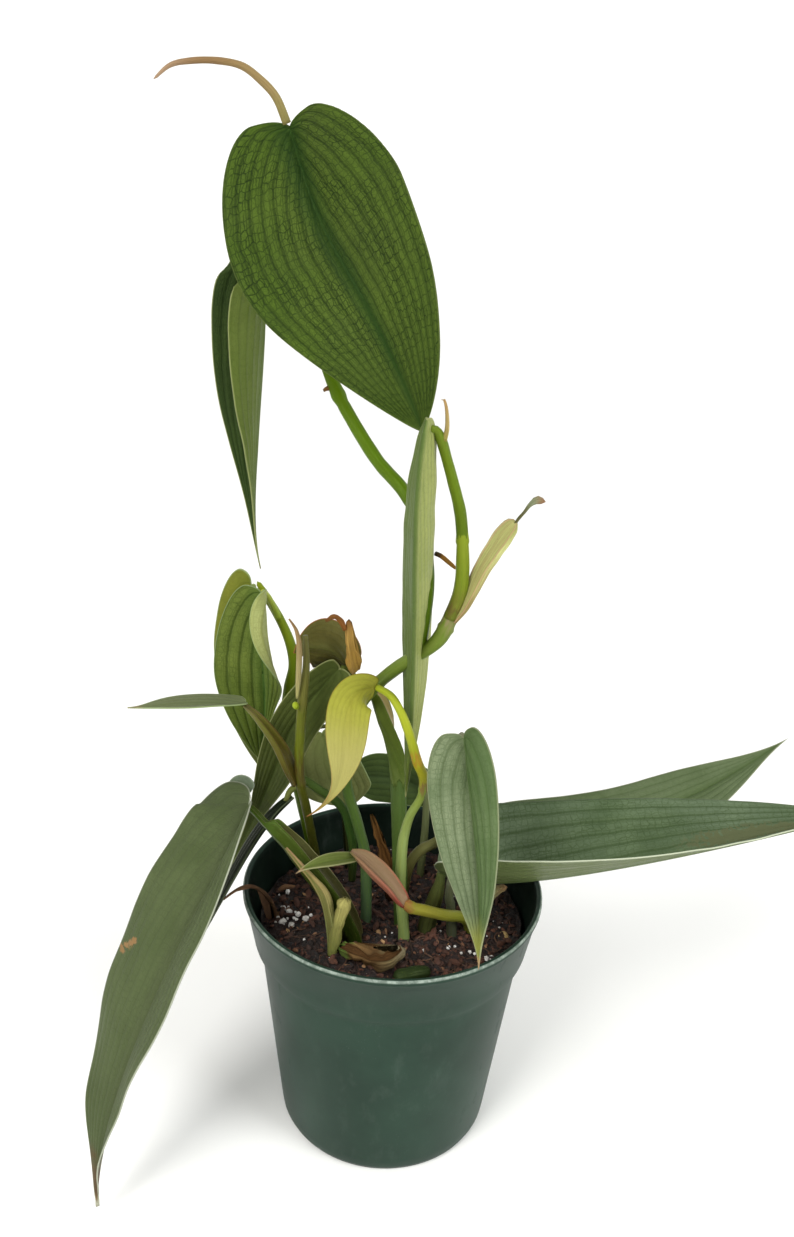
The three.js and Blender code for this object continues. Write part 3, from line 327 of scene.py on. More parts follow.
LEAF_NET = make_leaf_net()
STALK_GRAIN = make_stalk_grain()
POT_MARKS = make_pot_marks()
PITS = make_pits()


# Finishes of the blades and stalks
def blade_material(name, look, under=False):
    """One face of a leaf. look holds its colours and how strongly its net and veins show."""
    made, tree = new_material(name)
    share = uv_of(tree, "share")
    net = place_group(tree, LEAF_NET, {
        "Share": share, "Span": uv_of(tree, "span"), "Place": object_place(tree), "Rows": look["rows"],
        "Crosses": look["crosses"], "Fan": look.get("fan", FAN)})
    face = look["under"] if under else look["blade"]
    vein = look.get("under_vein", look["vein"]) if under else look["vein"]
    shown = 0.6 if under else 1.0
    colour = mix(tree, net["Mottle"], rgb(face[0]), rgb(face[1]))
    # Broad patches take the face's last colour; on the top leaf's upper face that colour is a painted
    # greyish sheen.
    for mask, strength, tint in (
            ("Broad", 0.6, face[-1]), ("Patch", 0.2, vein), ("Mesh", look["net"] * shown * 0.45, vein),
            ("Net", look["net"] * shown, vein), ("Veins", look["lines"] * shown, vein),
            ("Zone", look.get("zone", 0.5), look["rib"]),
            ("Rib", look.get("rib_line", 0.6), look.get("rib_colour", look["rib"]))):
        colour = tinted(tree, colour, net[mask], strength, tint)
    # A look's half tint darkens the blade on one side of the rib, on both faces: painted shade on the half
    # turned from the light.
    if "half" in look:
        tint, strength = look["half"]
        colour = tinted(tree, colour, net["Left"], strength, tint)
    for low, high, tint in look.get("along", []):
        colour = mix(tree, span(tree, net["Along"], low, high), colour, rgb(tint))
    for spot, size, tint in look.get("marks", []):
        gap = vector_calc(tree, "SUBTRACT", share, (*spot, 0))
        gap = vector_calc(tree, "MULTIPLY", gap, (1 / size[0], 1 / size[1], 0))
        gap = add(tree, "ShaderNodeVectorMath", {0: gap}, operation="LENGTH").outputs["Value"]
        gap = plus(tree, gap, less(tree, net["Patch"], 0.5))
        colour = mix(tree, span(tree, gap, 0.5, 1.1, 1.0, 0.0), colour, rgb(tint))
    edge = look.get("edge", 0.6)
    edge = span(tree, net["Left"], 0.0, 1.0, edge, look.get("left_edge", edge))
    colour = tinted(tree, colour, net["Margin"], edge, look.get("margin", "#8fa070"))
    rough = look.get("rough", 0.5)
    rough = span(tree, net["Mottle"], 0.0, 1.0, rough - 0.05, rough + 0.08)
    relief = times(tree, net["Relief"], -1.0) if under else net["Relief"]
    finish_material(tree, colour, rough, relief, 0.35, RELIEF_DEPTH, Specular_IOR_Level=0.12,
                    Specular_Tint=rgb(GREEN_SHEEN))
    return made


def stalk_material(name, look):
    """A stalk's skin: colours along it, fibres round it, specks, a sheath's inner face and its rims."""
    made, tree = new_material(name)
    skin = place_group(tree, STALK_GRAIN, {
        "Share": uv_of(tree, "share"), "Span": uv_of(tree, "span"), "Ribs": look["ribs"]})
    colour = ramp(tree, skin["Along"], look["stops"])
    if "inside" in look:
        inner = skin["Inner"]
        if "inside_fades" in look:
            inner = times(tree, inner, span(tree, skin["Along"], *look["inside_fades"], 1.0, 0.0))
        if "inside_starts" in look:
            inner = times(tree, inner, span(tree, skin["Along"], *look["inside_starts"]))
        colour = mix(tree, inner, colour, rgb(look["inside"]))
    if "rim" in look:
        colour = mix(tree, skin["Rim"], colour, rgb(look["rim"]))
    colour = tinted(tree, colour, skin["Fibre"], look["shade"], look["fibre"])
    colour = tinted(tree, colour, skin["Speck"], look["specks"], look["speck"])
    rough = look.get("rough", 0.38)
    rough = span(tree, skin["Blotch"], 0.0, 1.0, rough - 0.05, rough + 0.1)
    finish_material(tree, colour, rough, skin["Relief"], look.get("bump", 0.3), RELIEF_DEPTH,
                    Specular_IOR_Level=0.16, Specular_Tint=rgb(GREEN_SHEEN))
    return made


# Forms
def grid(columns, rows, shape):
    """A grid whose points shape(x, y) puts in place, x and y running from 0 to 1. shape gives the place in
    millimetres and the point's two pairs of shader lengths."""
    form = bmesh.new()
    form.loops.layers.uv.new("share")
    form.loops.layers.uv.new("span")
    bmesh.ops.create_grid(form, x_segments=columns, y_segments=rows, size=0.5, calc_uvs=True)
    layers = [form.loops.layers.uv[label] for label in ("share", "span")]
    lengths = {}
    for point in form.verts:
        spot, *lengths[point] = shape(point.co.x + 0.5, point.co.y + 0.5)
        point.co = spot * MM
    for face in form.faces:
        face.smooth = True
        for corner in face.loops:
            for layer, pair in zip(layers, lengths[corner.vert]):
                corner[layer].uv = pair
    return form


def close_and_weld(form):
    bmesh.ops.remove_doubles(form, verts=form.verts, dist=WELD)
    open_edges = [edge for edge in form.edges if edge.is_boundary]
    if open_edges:
        bmesh.ops.holes_fill(form, edges=open_edges, sides=0)
    bmesh.ops.recalc_face_normals(form, faces=form.faces)


def make_piece(name, form, materials, slot, *nodes):
    mesh = bpy.data.meshes.new(name)
    form.to_mesh(mesh)
    form.free()
    for surface in materials:
        mesh.materials.append(surface)
    made = new_object(name, mesh)
    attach(made, "root")
    if nodes:
        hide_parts(*nodes)
    return made


def smooth_step(x):
    x = min(max(x, 0.0), 1.0)
    return x * x * (3 - 2 * x)


def bezier(places, t):
    a, b, c, d = places
    s = 1 - t
    return a * s ** 3 + b * (3 * s * s * t) + c * (3 * s * t * t) + d * t ** 3


class Line:
    """A sampled line with its lengths, so that places on it are found by distance."""

    def __init__(self, samples):
        self.spots = samples
        self.lengths = [0.0]
        for first, second in zip(samples, samples[1:]):
            self.lengths.append(self.lengths[-1] + (second - first).length)
        self.length = self.lengths[-1]

    def find(self, inside):
        """The last sample before a distance, and how far on towards the next one that distance is."""
        low = min(bisect.bisect_right(self.lengths, inside), len(self.lengths) - 1) - 1
        gap = self.lengths[low + 1] - self.lengths[low]
        return low, (inside - self.lengths[low]) / gap if gap else 0.0

    def at(self, distance):
        inside = min(max(distance, 0.0), self.length)
        low, part = self.find(inside)
        spot = self.spots[low].lerp(self.spots[low + 1], part)
        before = self.spots[max(low - 1, 0)]
        after = self.spots[min(low + 2, len(self.spots) - 1)]
        tangent = (after - before).normalized()
        return spot + tangent * (distance - inside), tangent

    def share(self, distance):
        """The spline's own parameter at a distance, from 0 to 1."""
        low, part = self.find(min(max(distance, 0.0), self.length))
        return (low + part) / (len(self.lengths) - 1)


def rib_line(places):
    """A smooth rib through four points, the middle two at a third and two thirds of its curve."""
    a, b, c, d = [Vector(p) for p in places]
    first = (a * -5 + b * 18 - c * 9 + d * 2) / 6
    second = (a * 2 - b * 9 + c * 18 - d * 5) / 6
    return Line([bezier((a, first, second, d), k / RIB_STEPS) for k in range(RIB_STEPS + 1)])


def half_outline(length, leaf):
    """The edge of half a blade laid flat, from 0 at the notch to 1 at the tip, and for each point of it the
    place on the rib where its row of the mesh starts."""
    half = leaf["width"] / 2
    widest = leaf["widest"] * length
    rest = length - widest
    shoulder = leaf.get("shoulder", 0.42) * half
    full = leaf.get("full", 0.6)
    back = -leaf["lobe"]
    if leaf["lobe"] > 0:
        lobe = [(0, 0), (0.45 * back, 0.04 * half), (back, 0.1 * half), (back, shoulder)]
    else:
        lobe = [(0, 0), (-0.01 * length, 0.2 * shoulder), (-0.015 * length, 0.5 * shoulder), (0, shoulder)]
    body = [(back, shoulder), (back, shoulder + full * (half - shoulder)),
            (widest - 0.5 * (widest - back), half), (widest, half)]
    end = [(widest, half), (widest + 0.45 * rest, half), (length - leaf["tip"] * rest, 0.1 * half),
           (length, 0)]
    lobe, body, end = [[Vector(place) for place in part] for part in (lobe, body, end)]

    def edge(y):
        if y < 1 / 6:
            return bezier(lobe, y * 6)
        if y < 7 / 12:
            return bezier(body, (y - 1 / 6) * 2.4)
        return bezier(end, (y - 7 / 12) * 2.4)

    def middle(y):
        if y < 1 / 6:
            return 0.03 * length * y * 6
        return 0.03 * length + 0.97 * length * (edge(y).x - back) / (length - back)

    return edge, middle


def blade_shape(leaf):
    line = rib_line(leaf["rib"])
    length = line.length
    halves = {1: half_outline(length, leaf), -1: half_outline(length, {**leaf, **leaf.get("left", {})})}
    start, end = [Vector(v).normalized() for v in leaf["face"]]
    fan_pull = leaf["look"].get("fan", FAN)
    rows = leaf["look"]["rows"]
    pleat = leaf.get("pleat", 0.18)
    seed = Vector((len(leaf["rib"]) * 3.1, leaf["width"], length)) * 0.37

    def shape(x, y):
        side = 1 if x >= 0.5 else -1
        share = abs(x - 0.5) * 2
        edge, middle = halves[side]
        outer = edge(y)
        narrow = leaf.get("narrow", 1) if side < 0 else 1
        along = middle(y) * (1 - share) + outer.x * share
        half = max(outer.y * narrow, 1e-4)
        across = half * share
        spot, tangent = line.at(along)
        fan = share + fan_pull * math.exp(-max(along / length, 0) * FAN_FADE) * (1 - share)
        fan += 0.02 * math.sin(23 * fan + 2 * side)
        ease = smooth_step(along / length)
        face = start.lerp(end, ease)
        face = (face - tangent * face.dot(tangent)).normalized()
        sideways = tangent.cross(face) * side
        first, last = [row[:2] if side > 0 else row[2:] for row in leaf["fold"]]
        inner, outer_fold = [math.radians(a * (1 - ease) + b * ease) for a, b in zip(first, last)]
        bend = (outer_fold - inner) / (leaf["width"] / 2 * narrow)
        angle = inner + bend * across
        if abs(bend) < 1e-6:
            out, rise = across * math.cos(inner), across * math.sin(inner)
        else:
            out = (math.sin(angle) - math.sin(inner)) / bend
            rise = (math.cos(inner) - math.cos(angle)) / bend
        waves = 2 * math.pi * leaf.get("waves", 2) * along / length
        rise += leaf.get("wave", 0) * share ** 2 * math.sin(waves + side)
        normal = face * math.cos(angle) - sideways * math.sin(angle)
        size = min(half / 9, 1.0)
        valley = (0.5 + 0.5 * math.cos(2 * math.pi * fan * rows)) ** 2
        relief = -pleat * size * valley * smooth_step(share * 5) * (1 - smooth_step((share - 0.9) / 0.1))
        relief -= 0.5 * size * math.exp(-(across / 1.1) ** 2)
        relief += 0.35 * size * noise.noise(spot * 0.09 + seed) * share
        spot = spot + sideways * out + face * rise + normal * relief
        return spot, (x, along / length), (across * SHADER_MM, (half - across) * SHADER_MM)

    return shape


def make_blade(name, leaf):
    form = grid(*leaf["mesh"], blade_shape(leaf))
    bmesh.ops.remove_doubles(form, verts=form.verts, dist=WELD)
    upper = blade_material(name + "_upper", leaf["look"])
    lower = blade_material(name + "_under", leaf["look"], under=True)
    made = make_piece(name + "_blade", form, [upper, lower], leaf["slot"], leaf.get("node", name))
    wall = made.modifiers.new("thickness", "SOLIDIFY")
    wall.thickness = BLADE_THICKNESS * MM
    wall.offset = 0
    wall.material_offset = 1
    wall.use_even_offset = False


def catmull_rom(places, t):
    x = t * (len(places) - 1)
    k = min(int(x), len(places) - 2)
    f = x - k
    p1, p2 = places[k], places[k + 1]
    p0 = places[k - 1] if k > 0 else p1 * 2 - p2
    p3 = places[k + 2] if k + 2 < len(places) else p2 * 2 - p1
    v0, v1 = (p2 - p0) * 0.5, (p3 - p1) * 0.5
    return ((p1 - p2) * 2 + v0 + v1) * f ** 3 + (p2 * 3 - p1 * 3 - v0 * 2 - v1) * f ** 2 + v0 * f + p1


def winged_ring(turn, radius, wing):
    """A point of a channelled stalk's cross-section: round below, two thin wings above."""
    thick = min(0.7, radius * 0.5)
    floor = min(0.35 * radius, wing)
    slope = floor + 0.2 * (wing - floor)
    corners = [(-radius, wing), (-radius, 0)]
    corners += [(radius * math.cos(math.pi * (1 + k / 6)), radius * math.sin(math.pi * (1 + k / 6)))
                for k in range(1, 6)]
    corners += [(radius, 0), (radius, wing), (radius - thick, wing), (0.45 * radius, slope), (0, floor),
                (-0.45 * radius, slope), (thick - radius, wing)]
    x = turn * len(corners)
    k = int(x) % len(corners)
    f = x - int(x)
    p0, p1, p2, p3 = [Vector(corners[j % len(corners)]) for j in range(k - 1, k + 3)]
    straight = p1 * (1 - f) + p2 * f
    rounded = (p0 * (-f + 2 * f * f - f ** 3) + p1 * (2 - 5 * f * f + 3 * f ** 3)
               + p2 * (f + 4 * f * f - 3 * f ** 3) + p3 * (f ** 3 - f * f)) * 0.5
    return straight.lerp(rounded, 0.6)


def stalk_shape(stalk):
    places = [Vector(p) for p in stalk["path"]]
    radii = list(stalk["radii"])
    wings = list(stalk.get("wings", []))
    if stalk.get("sunk"):
        places.append(places[-1] - Vector((0, 0, SUNK_DEPTH)))
        radii.append(radii[-1] * 0.85)
        wings += wings[-1:]
    line = Line([catmull_rom(places, k / STALK_STEPS) for k in range(STALK_STEPS + 1)])
    reference = Vector(stalk.get("open", (0.0, 1.0, 0.25))).normalized()
    turned = Vector(stalk.get("turns_to", reference)).normalized()
    frames = []
    up = reference
    for k in range(STALK_STEPS + 1):
        tangent = line.at(line.length * k / STALK_STEPS)[1]
        base = reference.lerp(turned, smooth_step(k / 100)) if wings else up
        up = (base - tangent * base.dot(tangent)).normalized()
        frames.append(up)
    ridge = stalk.get("ridge", 0.02)
    ridges = stalk.get("ridges", 9)
    crumple = stalk.get("crumple", 0)

    def shape(x, y):
        distance = line.length * y
        spot, tangent = line.at(distance)
        t = line.share(distance)
        radius = max(catmull_rom(radii, t), 0.12)
        up = frames[min(int(y * STALK_STEPS + 0.5), STALK_STEPS)]
        side = tangent.cross(up)
        for place, height, width in stalk.get("rings", []):
            gap = (distance - place * line.length) / width
            radius += height * math.exp(-gap * gap)
            radius -= 0.35 * height * math.exp(-(gap - 1.6) ** 2 * 3)
        swell = 1 + ridge * math.cos(2 * math.pi * x * ridges) + 0.05 * noise.noise(spot * 0.22)
        for end, gap in (("start", distance), ("end", line.length - distance)):
            if end in stalk.get("round", ()) and gap < radius:
                radius *= math.sqrt(max(1 - (1 - gap / radius) ** 2, 0.01))
        if wings:
            flat = winged_ring(x, radius, catmull_rom(wings, t))
        else:
            turn = 2 * math.pi * x
            flat = Vector((math.sin(turn), math.cos(turn))) * radius
        if crumple:
            flat = flat * (1 + crumple * noise.noise(Vector((x * 5, distance * 0.35, 3.7))))
        spot = spot + (side * flat.x + up * flat.y) * swell
        return spot, (x, y), (radius * SHADER_MM, distance * SHADER_MM)

    return shape, line.length


def make_stalk(name, stalk):
    shape, length = stalk_shape(stalk)
    around = 42 if "wings" in stalk else 20
    form = grid(around, max(12, min(150, int(length / 1.1))), shape)
    close_and_weld(form)
    surface = stalk_material(name + "_finish", stalk["look"])
    node = stalk.get("node", name)
    make_piece(name + "_skin", form, [surface], stalk["slot"], *([node] if node else []))


# Leaves. Ribs run from the notch to the tip; fold gives each half's slope beside the rib and at
# its edge, in degrees, first at the notch and then at the tip.
LEAVES = {
    "top_leaf": dict(
        rib=[(-42.5, 6, 369), (-30, -9, 341), (-17, -24, 323), (2, -36, 288.5)],
        face=[(0, -1, 0.35), (0, -1, -0.1)], width=60.6, widest=0.36, lobe=3.2, tip=0, shoulder=0.36,
        full=0.42, left=dict(width=61.6, lobe=1.6, shoulder=0.34, full=0.55),
        fold=[(1, -8, 58, 12), (11, 0, 11, 22)], wave=0.6, waves=3, mesh=(96, 130), pleat=0.2,
        slot="leaf_green",
        # The blade's third colour, shown in broad patches, is a painted greyish sheen.
        look=dict(blade=("#31450f", "#3e5415", "#4b5a24"), vein="#101e08", rib="#173012",
                  rib_colour="#1e3a14", under=("#3f4d21", "#4a572a"), rows=8, crosses=42, fan=0.5, net=0.92,
                  lines=0.65, zone=0.72, rib_line=0.3, rough=0.55, margin="#6d7c40", edge=0.35,
                  along=[(0.6, 1.3, "#26380f")])),
    "folded_leaf": dict(
        rib=[(3, -48, 294.5), (1.4, -53, 261.8), (2.9, -38, 217), (2.9, -16, 151.4)],
        face=[(0, 1, 0), (0, 1, 0)], width=32, widest=0.47, lobe=0, tip=0.3,
        fold=[(59, 78, 88, 66), (58, 86, 66, 84)], mesh=(56, 110), slot="leaf_pale",
        # The half tint is painted shade on the half turned from the light.
        look=dict(half=("#405427", 0.85), blade=("#3e4c21", "#48562b"), vein="#33431b", rib="#566537",
                  under=("#858e50", "#969c5e"), under_vein="#616d35", rows=7, crosses=60, net=0.35,
                  lines=0.6, zone=0.2, rough=0.5, margin="#9b9d6f",
                  along=[(0.8, 0.9, "#4d5a24"), (0.95, 1.0, "#7d5a2c")])),
    "rear_hanging_leaf": dict(
        rib=[(-55.5, 11, 332), (-52, 20, 308.5), (-55.5, 24, 263), (-54, 24, 220.5)],
        face=[(-1, -0.3, 0), (-1, -0.3, 0)], width=35, widest=0.22, lobe=0.3, shoulder=0.35, tip=0.45,
        fold=[(80, 80, 30, 78), (67, 65, 15, 65)], mesh=(56, 100), slot="leaf_green",
        look=dict(blade=("#28371a", "#31411d"), vein="#1b2911", rib="#304220", under=("#505f26", "#5c6a31"),
                  under_vein="#3e4b1d", rows=6, crosses=44, net=0.45, lines=0.6, zone=0.3, rough=0.42,
                  margin="#969d66", along=[(0.96, 1.0, "#543a18")])),
    "yellow_leaf": dict(
        rib=[(-9.5, -22, 197), (-17.5, -32, 191.5), (-18.5, -36, 173.5), (-30.5, -34, 153)],
        face=[(-0.3, -1, 0.1), (0.4, -1, 0)], width=14.6, widest=0.25, lobe=0.3, tip=0.52,
        fold=[(22, -13, 1, -22), (15, 4, 8, -2)], mesh=(40, 80), slot="leaf_yellow",
        look=dict(blade=("#808326", "#8d8d35"), vein="#737029", rib="#898331", under=("#8e8a41", "#96914c"),
                  rows=5, crosses=30, net=0.14, lines=0.3, zone=0.15, rib_line=0.3, rough=0.45, edge=0.35,
                  margin="#7c5526",
                  along=[(0.2, 0.55, "#989254"), (0.7, 0.95, "#897239"), (0.92, 1.0, "#835939")])),
    "dark_rear_leaf": dict(
        rib=[(-23, 6, 190.5), (-39.5, 3, 167), (-48.5, 10, 139.5), (-75.5, 22, 72.5)],
        face=[(0, -1, 0.6), (-0.3, -1, 0.2)], width=18, widest=0.17, lobe=1.2, tip=0.7,
        fold=[(40, 14, 9, 5), (30, 25, 21, 19)], mesh=(44, 96), slot="leaf_dark",
        look=dict(blade=("#39411b", "#424a21"), vein="#293111", rib="#434f25", under=("#4b532a", "#575f32"),
                  rows=5, crosses=50, net=0.3, lines=0.4, zone=0.3, rough=0.4, margin="#939765")),
    "striped_leaf": dict(
        rib=[(-53.5, 22, 212), (-53, 19, 189), (-52, 19.5, 165), (-54.5, 24, 141.5)],
        face=[(-0.3, -1, 0.4), (-0.1, -1, 0)], width=38, widest=0.42, shoulder=0.32, full=0.45, lobe=1.9,
        tip=0, narrow=0.64, left=dict(widest=0.22, tip=0.6, shoulder=0.42, full=0.6),
        fold=[(-2, -4, 10, 205), (23, 1, 0, -110)], mesh=(72, 84), pleat=0.32, slot="leaf_green",
        look=dict(blade=("#4a581f", "#5a672a", "#616f31"), vein="#2a370e", rib="#2e4e1f",
                  under=("#899156", "#9aa066"), under_vein="#727538", rows=4, crosses=36, net=0.5,
                  lines=0.8, zone=0.35, rough=0.45)),
    "pale_rear_leaf": dict(
        rib=[(-59.2, 36, 209.4), (-61.6, 38, 185), (-60.5, 40, 156.5), (-57.7, 42, 128)],
        face=[(-0.3, -1, 0.4), (0.1, -1, 0)], width=27, widest=0.34, lobe=4.6, tip=0.05, shoulder=0.36,
        left=dict(width=9, lobe=1), fold=[(6, -14, 15, -5), (4, -11, 20, 20)], mesh=(36, 84),
        slot="leaf_yellow",
        look=dict(blade=("#5e641d", "#6c7027"), vein="#4e5218", rib="#5f691f", under=("#767935", "#7f833f"),
                  rows=4, crosses=40, net=0.2, lines=0.4, rough=0.42, along=[(0.3, 0.6, "#545a30")])),
    "edge_on_leaf": dict(
        rib=[(-55, -8, 182), (-68, -14, 183.5), (-80.5, -22, 186), (-91, -30, 189)],
        face=[(0, 0.35, 1), (0, 0.35, 1)], width=14.2, widest=0.4, lobe=0, tip=0.3,
        fold=[(24, 17, 1, 1), (25, 18, -1, 3)], mesh=(36, 60), slot="leaf_grey",
        look=dict(blade=("#5e6645", "#6d7454"), vein="#47512f", rib="#5e6845", under=("#6e7356", "#7d8164"),
                  rows=4, crosses=24, net=0.3, lines=0.5, rough=0.55, along=[(0.86, 1.0, "#8c6052")])),
    "curled_olive_leaf": dict(
        rib=[(-20.5, 9, 190), (-26, 6.5, 197), (-33, 4.5, 199), (-39.5, 3, 197)],
        face=[(0.2, 1, -0.4), (0.4, 1, 0.2)], width=22, widest=0.5, lobe=1, tip=0.2,
        fold=[(15, 28, 37, 47), (5, 24, 31, 39)], mesh=(44, 48), slot="leaf_olive",
        look=dict(blade=("#414120", "#4e4c2b"), vein="#33341b", rib="#464723", under=("#4a451f", "#58532b"),
                  rows=5, crosses=18, net=0.3, lines=0.15, rough=0.42, edge=0.9, margin="#935531")),
    "long_left_leaf": dict(
        rib=[(-53.2, -12, 142.6), (-68, -38, 115), (-90, -58, 62.5), (-101, -68, 5.5)],
        face=[(-0.4, -1, 1), (-1, -0.8, 0.4)], width=53, widest=0.375, lobe=11,
        left=dict(lobe=0, shoulder=0.1, full=0.5), tip=0.17, narrow=0.7,
        fold=[(5, -17, 70, 19), (21, -23, 35, 4)], wave=0.8, waves=4, mesh=(64, 130), pleat=0.12,
        slot="leaf_grey",
        look=dict(blade=("#434e2f", "#4f5a3a"), vein="#3d442e", rib="#5e634d", under=("#5e614b", "#6b6e59"),
                  rows=7, crosses=70, net=0.5, lines=0.35, zone=0.2, rib_line=0.6, rough=0.5,
                  margin="#a8ac9a", edge=0.75,
                  marks=[((0.95, 0.432), (0.036, 0.007), "#836541"),
                         ((0.92, 0.42), (0.036, 0.008), "#836541"),
                         ((0.888, 0.407), (0.036, 0.008), "#836541"),
                         ((0.86, 0.395), (0.032, 0.006), "#836541")],
                  along=[(0.83, 0.9, "#54432f"), (0.945, 1.0, "#89704d")])),
    "long_left_lobe": dict(
        rib=[(-54.5, 3, 139.9), (-57.3, 4, 141.3), (-59.9, 4, 141.5), (-64.3, 3, 140.1)],
        face=[(-0.2, -1, 0.5), (-0.2, -1, 0.5)], width=7, widest=0.45, lobe=0, tip=0, node="long_left_leaf",
        fold=[(5, 0, 5, 0), (5, 0, 5, 0)], mesh=(20, 24), pleat=0.05, slot="leaf_grey",
        look=dict(blade=("#5f6a55", "#6d7a66"), vein="#4c5844", rib="#5a6650", under=("#5f6a55", "#6d7a66"),
                  rows=3, crosses=12, net=0.15, lines=0.2, zone=0.1, rough=0.5, margin="#a8b0a0",
                  edge=0.7)),
    "dark_left_leaf": dict(
        rib=[(-39.1, 3, 136.9), (-49.7, -5, 126.4), (-59.4, -13, 110.5), (-71.1, -19, 87.2)],
        face=[(-0.88, -0.27, 0.7), (-0.88, -0.27, 0.7)], width=13, widest=0.36, lobe=0.5, tip=0.18,
        fold=[(10, 0, 33, 32), (10, 0, 23, 23)], mesh=(36, 80), slot="leaf_dark",
        # Its near-black colours are the leaf's own dark green deepened by painted shade.
        look=dict(blade=("#11160e", "#161d12"), vein="#131a0e", rib="#182013", under=("#232b1c", "#2b3322"),
                  rows=4, crosses=40, net=0.2, lines=0.4, rough=0.4, margin="#586048")),
    "small_leaf": dict(
        rib=[(-13.5, -20, 128), (-20.5, -26, 130.5), (-28, -31, 131.5), (-34, -34, 129.5)],
        face=[(0, -0.4, 1), (0, -0.4, 1)], width=6, widest=0.42, lobe=0, tip=0.24,
        fold=[(21, 20, 18, 19), (20, 20, 17, 19)], mesh=(28, 48), pleat=0.1, slot="leaf_green",
        look=dict(blade=("#555f2d", "#616838"), vein="#444d22", rib="#4d5b26", under=("#65693f", "#717649"),
                  rows=3, crosses=20, net=0.2, lines=0.4, rough=0.45, margin="#91906a",
                  along=[(0.84, 0.97, "#995b51")])),
    "silver_leaf": dict(
        rib=[(21.5, -26, 182), (25, -44, 162.5), (28, -53, 143), (30.5, -53, 108)],
        face=[(0, -1, 0.5), (0, -1, -0.1)], width=28, widest=0.21, lobe=2.1, tip=0.32,
        fold=[(-5, -14, 80, 21), (5, -9, 70, 32)], mesh=(64, 104), pleat=0.3, slot="leaf_silver",
        # The half tint is painted shade on the half turned from the light.
        look=dict(half=("#3d5627", 0.6), blade=("#556347", "#737e61", "#818b70"), vein="#445234",
                  rib="#40512d", under=("#5f654b", "#6a6f55"), rows=4, crosses=44, net=0.55, lines=0.6,
                  zone=0.35, rough=0.5, margin="#8e9275",
                  along=[(0.66, 0.9, "#7f823f"), (0.93, 0.985, "#b16c35")])),
    "long_right_leaf": dict(
        rib=[(18, -6, 113.5), (51.5, -8, 114), (108, -6, 127.5), (167.5, 0, 144)],
        face=[(0, -0.3, 1), (0, -0.3, 1)], width=66, widest=0.14, lobe=5.3, tip=0,
        fold=[(63, 69, 16, 11), (57, 35, 22, 9)], mesh=(72, 130), pleat=0.22, slot="leaf_grey",
        look=dict(blade=("#44543a", "#566649", "#66745e"), vein="#354529", rib="#465933",
                  under=("#54613a", "#5f6b43"), under_vein="#556139", rows=6, crosses=60, net=0.62,
                  lines=0.7, zone=0.2, rough=0.42, edge=0.75, left_edge=0.1, margin="#c2c8b0",
                  marks=[((0.42, 0.76), (0.09, 0.13), "#54593f")])),
    "rear_right_leaf": dict(
        rib=[(41.5, 24, 118.5), (89, 34, 116.5), (126.5, 48, 124), (162.5, 62, 142.5)],
        face=[(0, -0.55, 1), (0, -0.8, 1)], width=26, widest=0.5, lobe=2.5, tip=0.29,
        fold=[(11, 10, 10, 4), (14, 8, 13, 6)], mesh=(44, 90), slot="leaf_grey",
        look=dict(blade=("#4b583b", "#596549"), vein="#3c4b2d", rib="#41512f", under=("#606649", "#6d7154"),
                  rows=4, crosses=50, net=0.25, lines=0.45, rough=0.42, margin="#8f937b")),
    "low_rear_leaf": dict(
        rib=[(13.7, 40, 121.3), (2.9, 42, 123.7), (-10.8, 42, 125.3), (-27.7, 38, 122.4)],
        face=[(0, -1, 0.5), (0, -1, 0.5)], width=20, widest=0.5, lobe=2, tip=0.4,
        fold=[(10, 0, 10, 0), (10, 0, 10, 0)], mesh=(40, 50), slot="leaf_dark",
        look=dict(blade=("#35441f", "#42522a"), vein="#29361f", rib="#3f4f30", under=("#48573a", "#536245"),
                  rows=4, crosses=20, net=0.3, lines=0.5)),
    "low_middle_leaf": dict(
        rib=[(-30.7, 29, 151.5), (-27.2, 27, 142.1), (-23, 26, 132.5), (-18.2, 25, 121.5)],
        face=[(0.1, -1, 0.5), (0, -1, 0.5)], width=31, widest=0.55, lobe=1.5, tip=0,
        left=dict(width=22, widest=0.8), fold=[(10, 0, 10, 0), (10, 0, 10, 0)], mesh=(40, 50),
        slot="leaf_olive",
        look=dict(blade=("#666c40", "#737848"), vein="#4d552d", rib="#586233", under=("#686d40", "#767a4a"),
                  rows=4, crosses=20, net=0.25, lines=0.4)),
}

# Stalks. Paths run from the top down, and radii and wings follow their points.
FRESH = {"fibre": "#4f6f12", "ribs": 3.0, "shade": 0.35, "speck": "#8f9c3a", "specks": 0.2}
OLIVE = {"fibre": "#4a5220", "ribs": 3.2, "shade": 0.35, "speck": "#8a8440", "specks": 0.25}
DRY = {"fibre": "#5e4326", "ribs": 5.0, "shade": 0.6, "speck": "#3c2a18", "specks": 0.4, "rough": 0.7,
       "bump": 0.8}


def with_stops(base, *stops, **more):
    return {**base, **more, "stops": list(stops)}


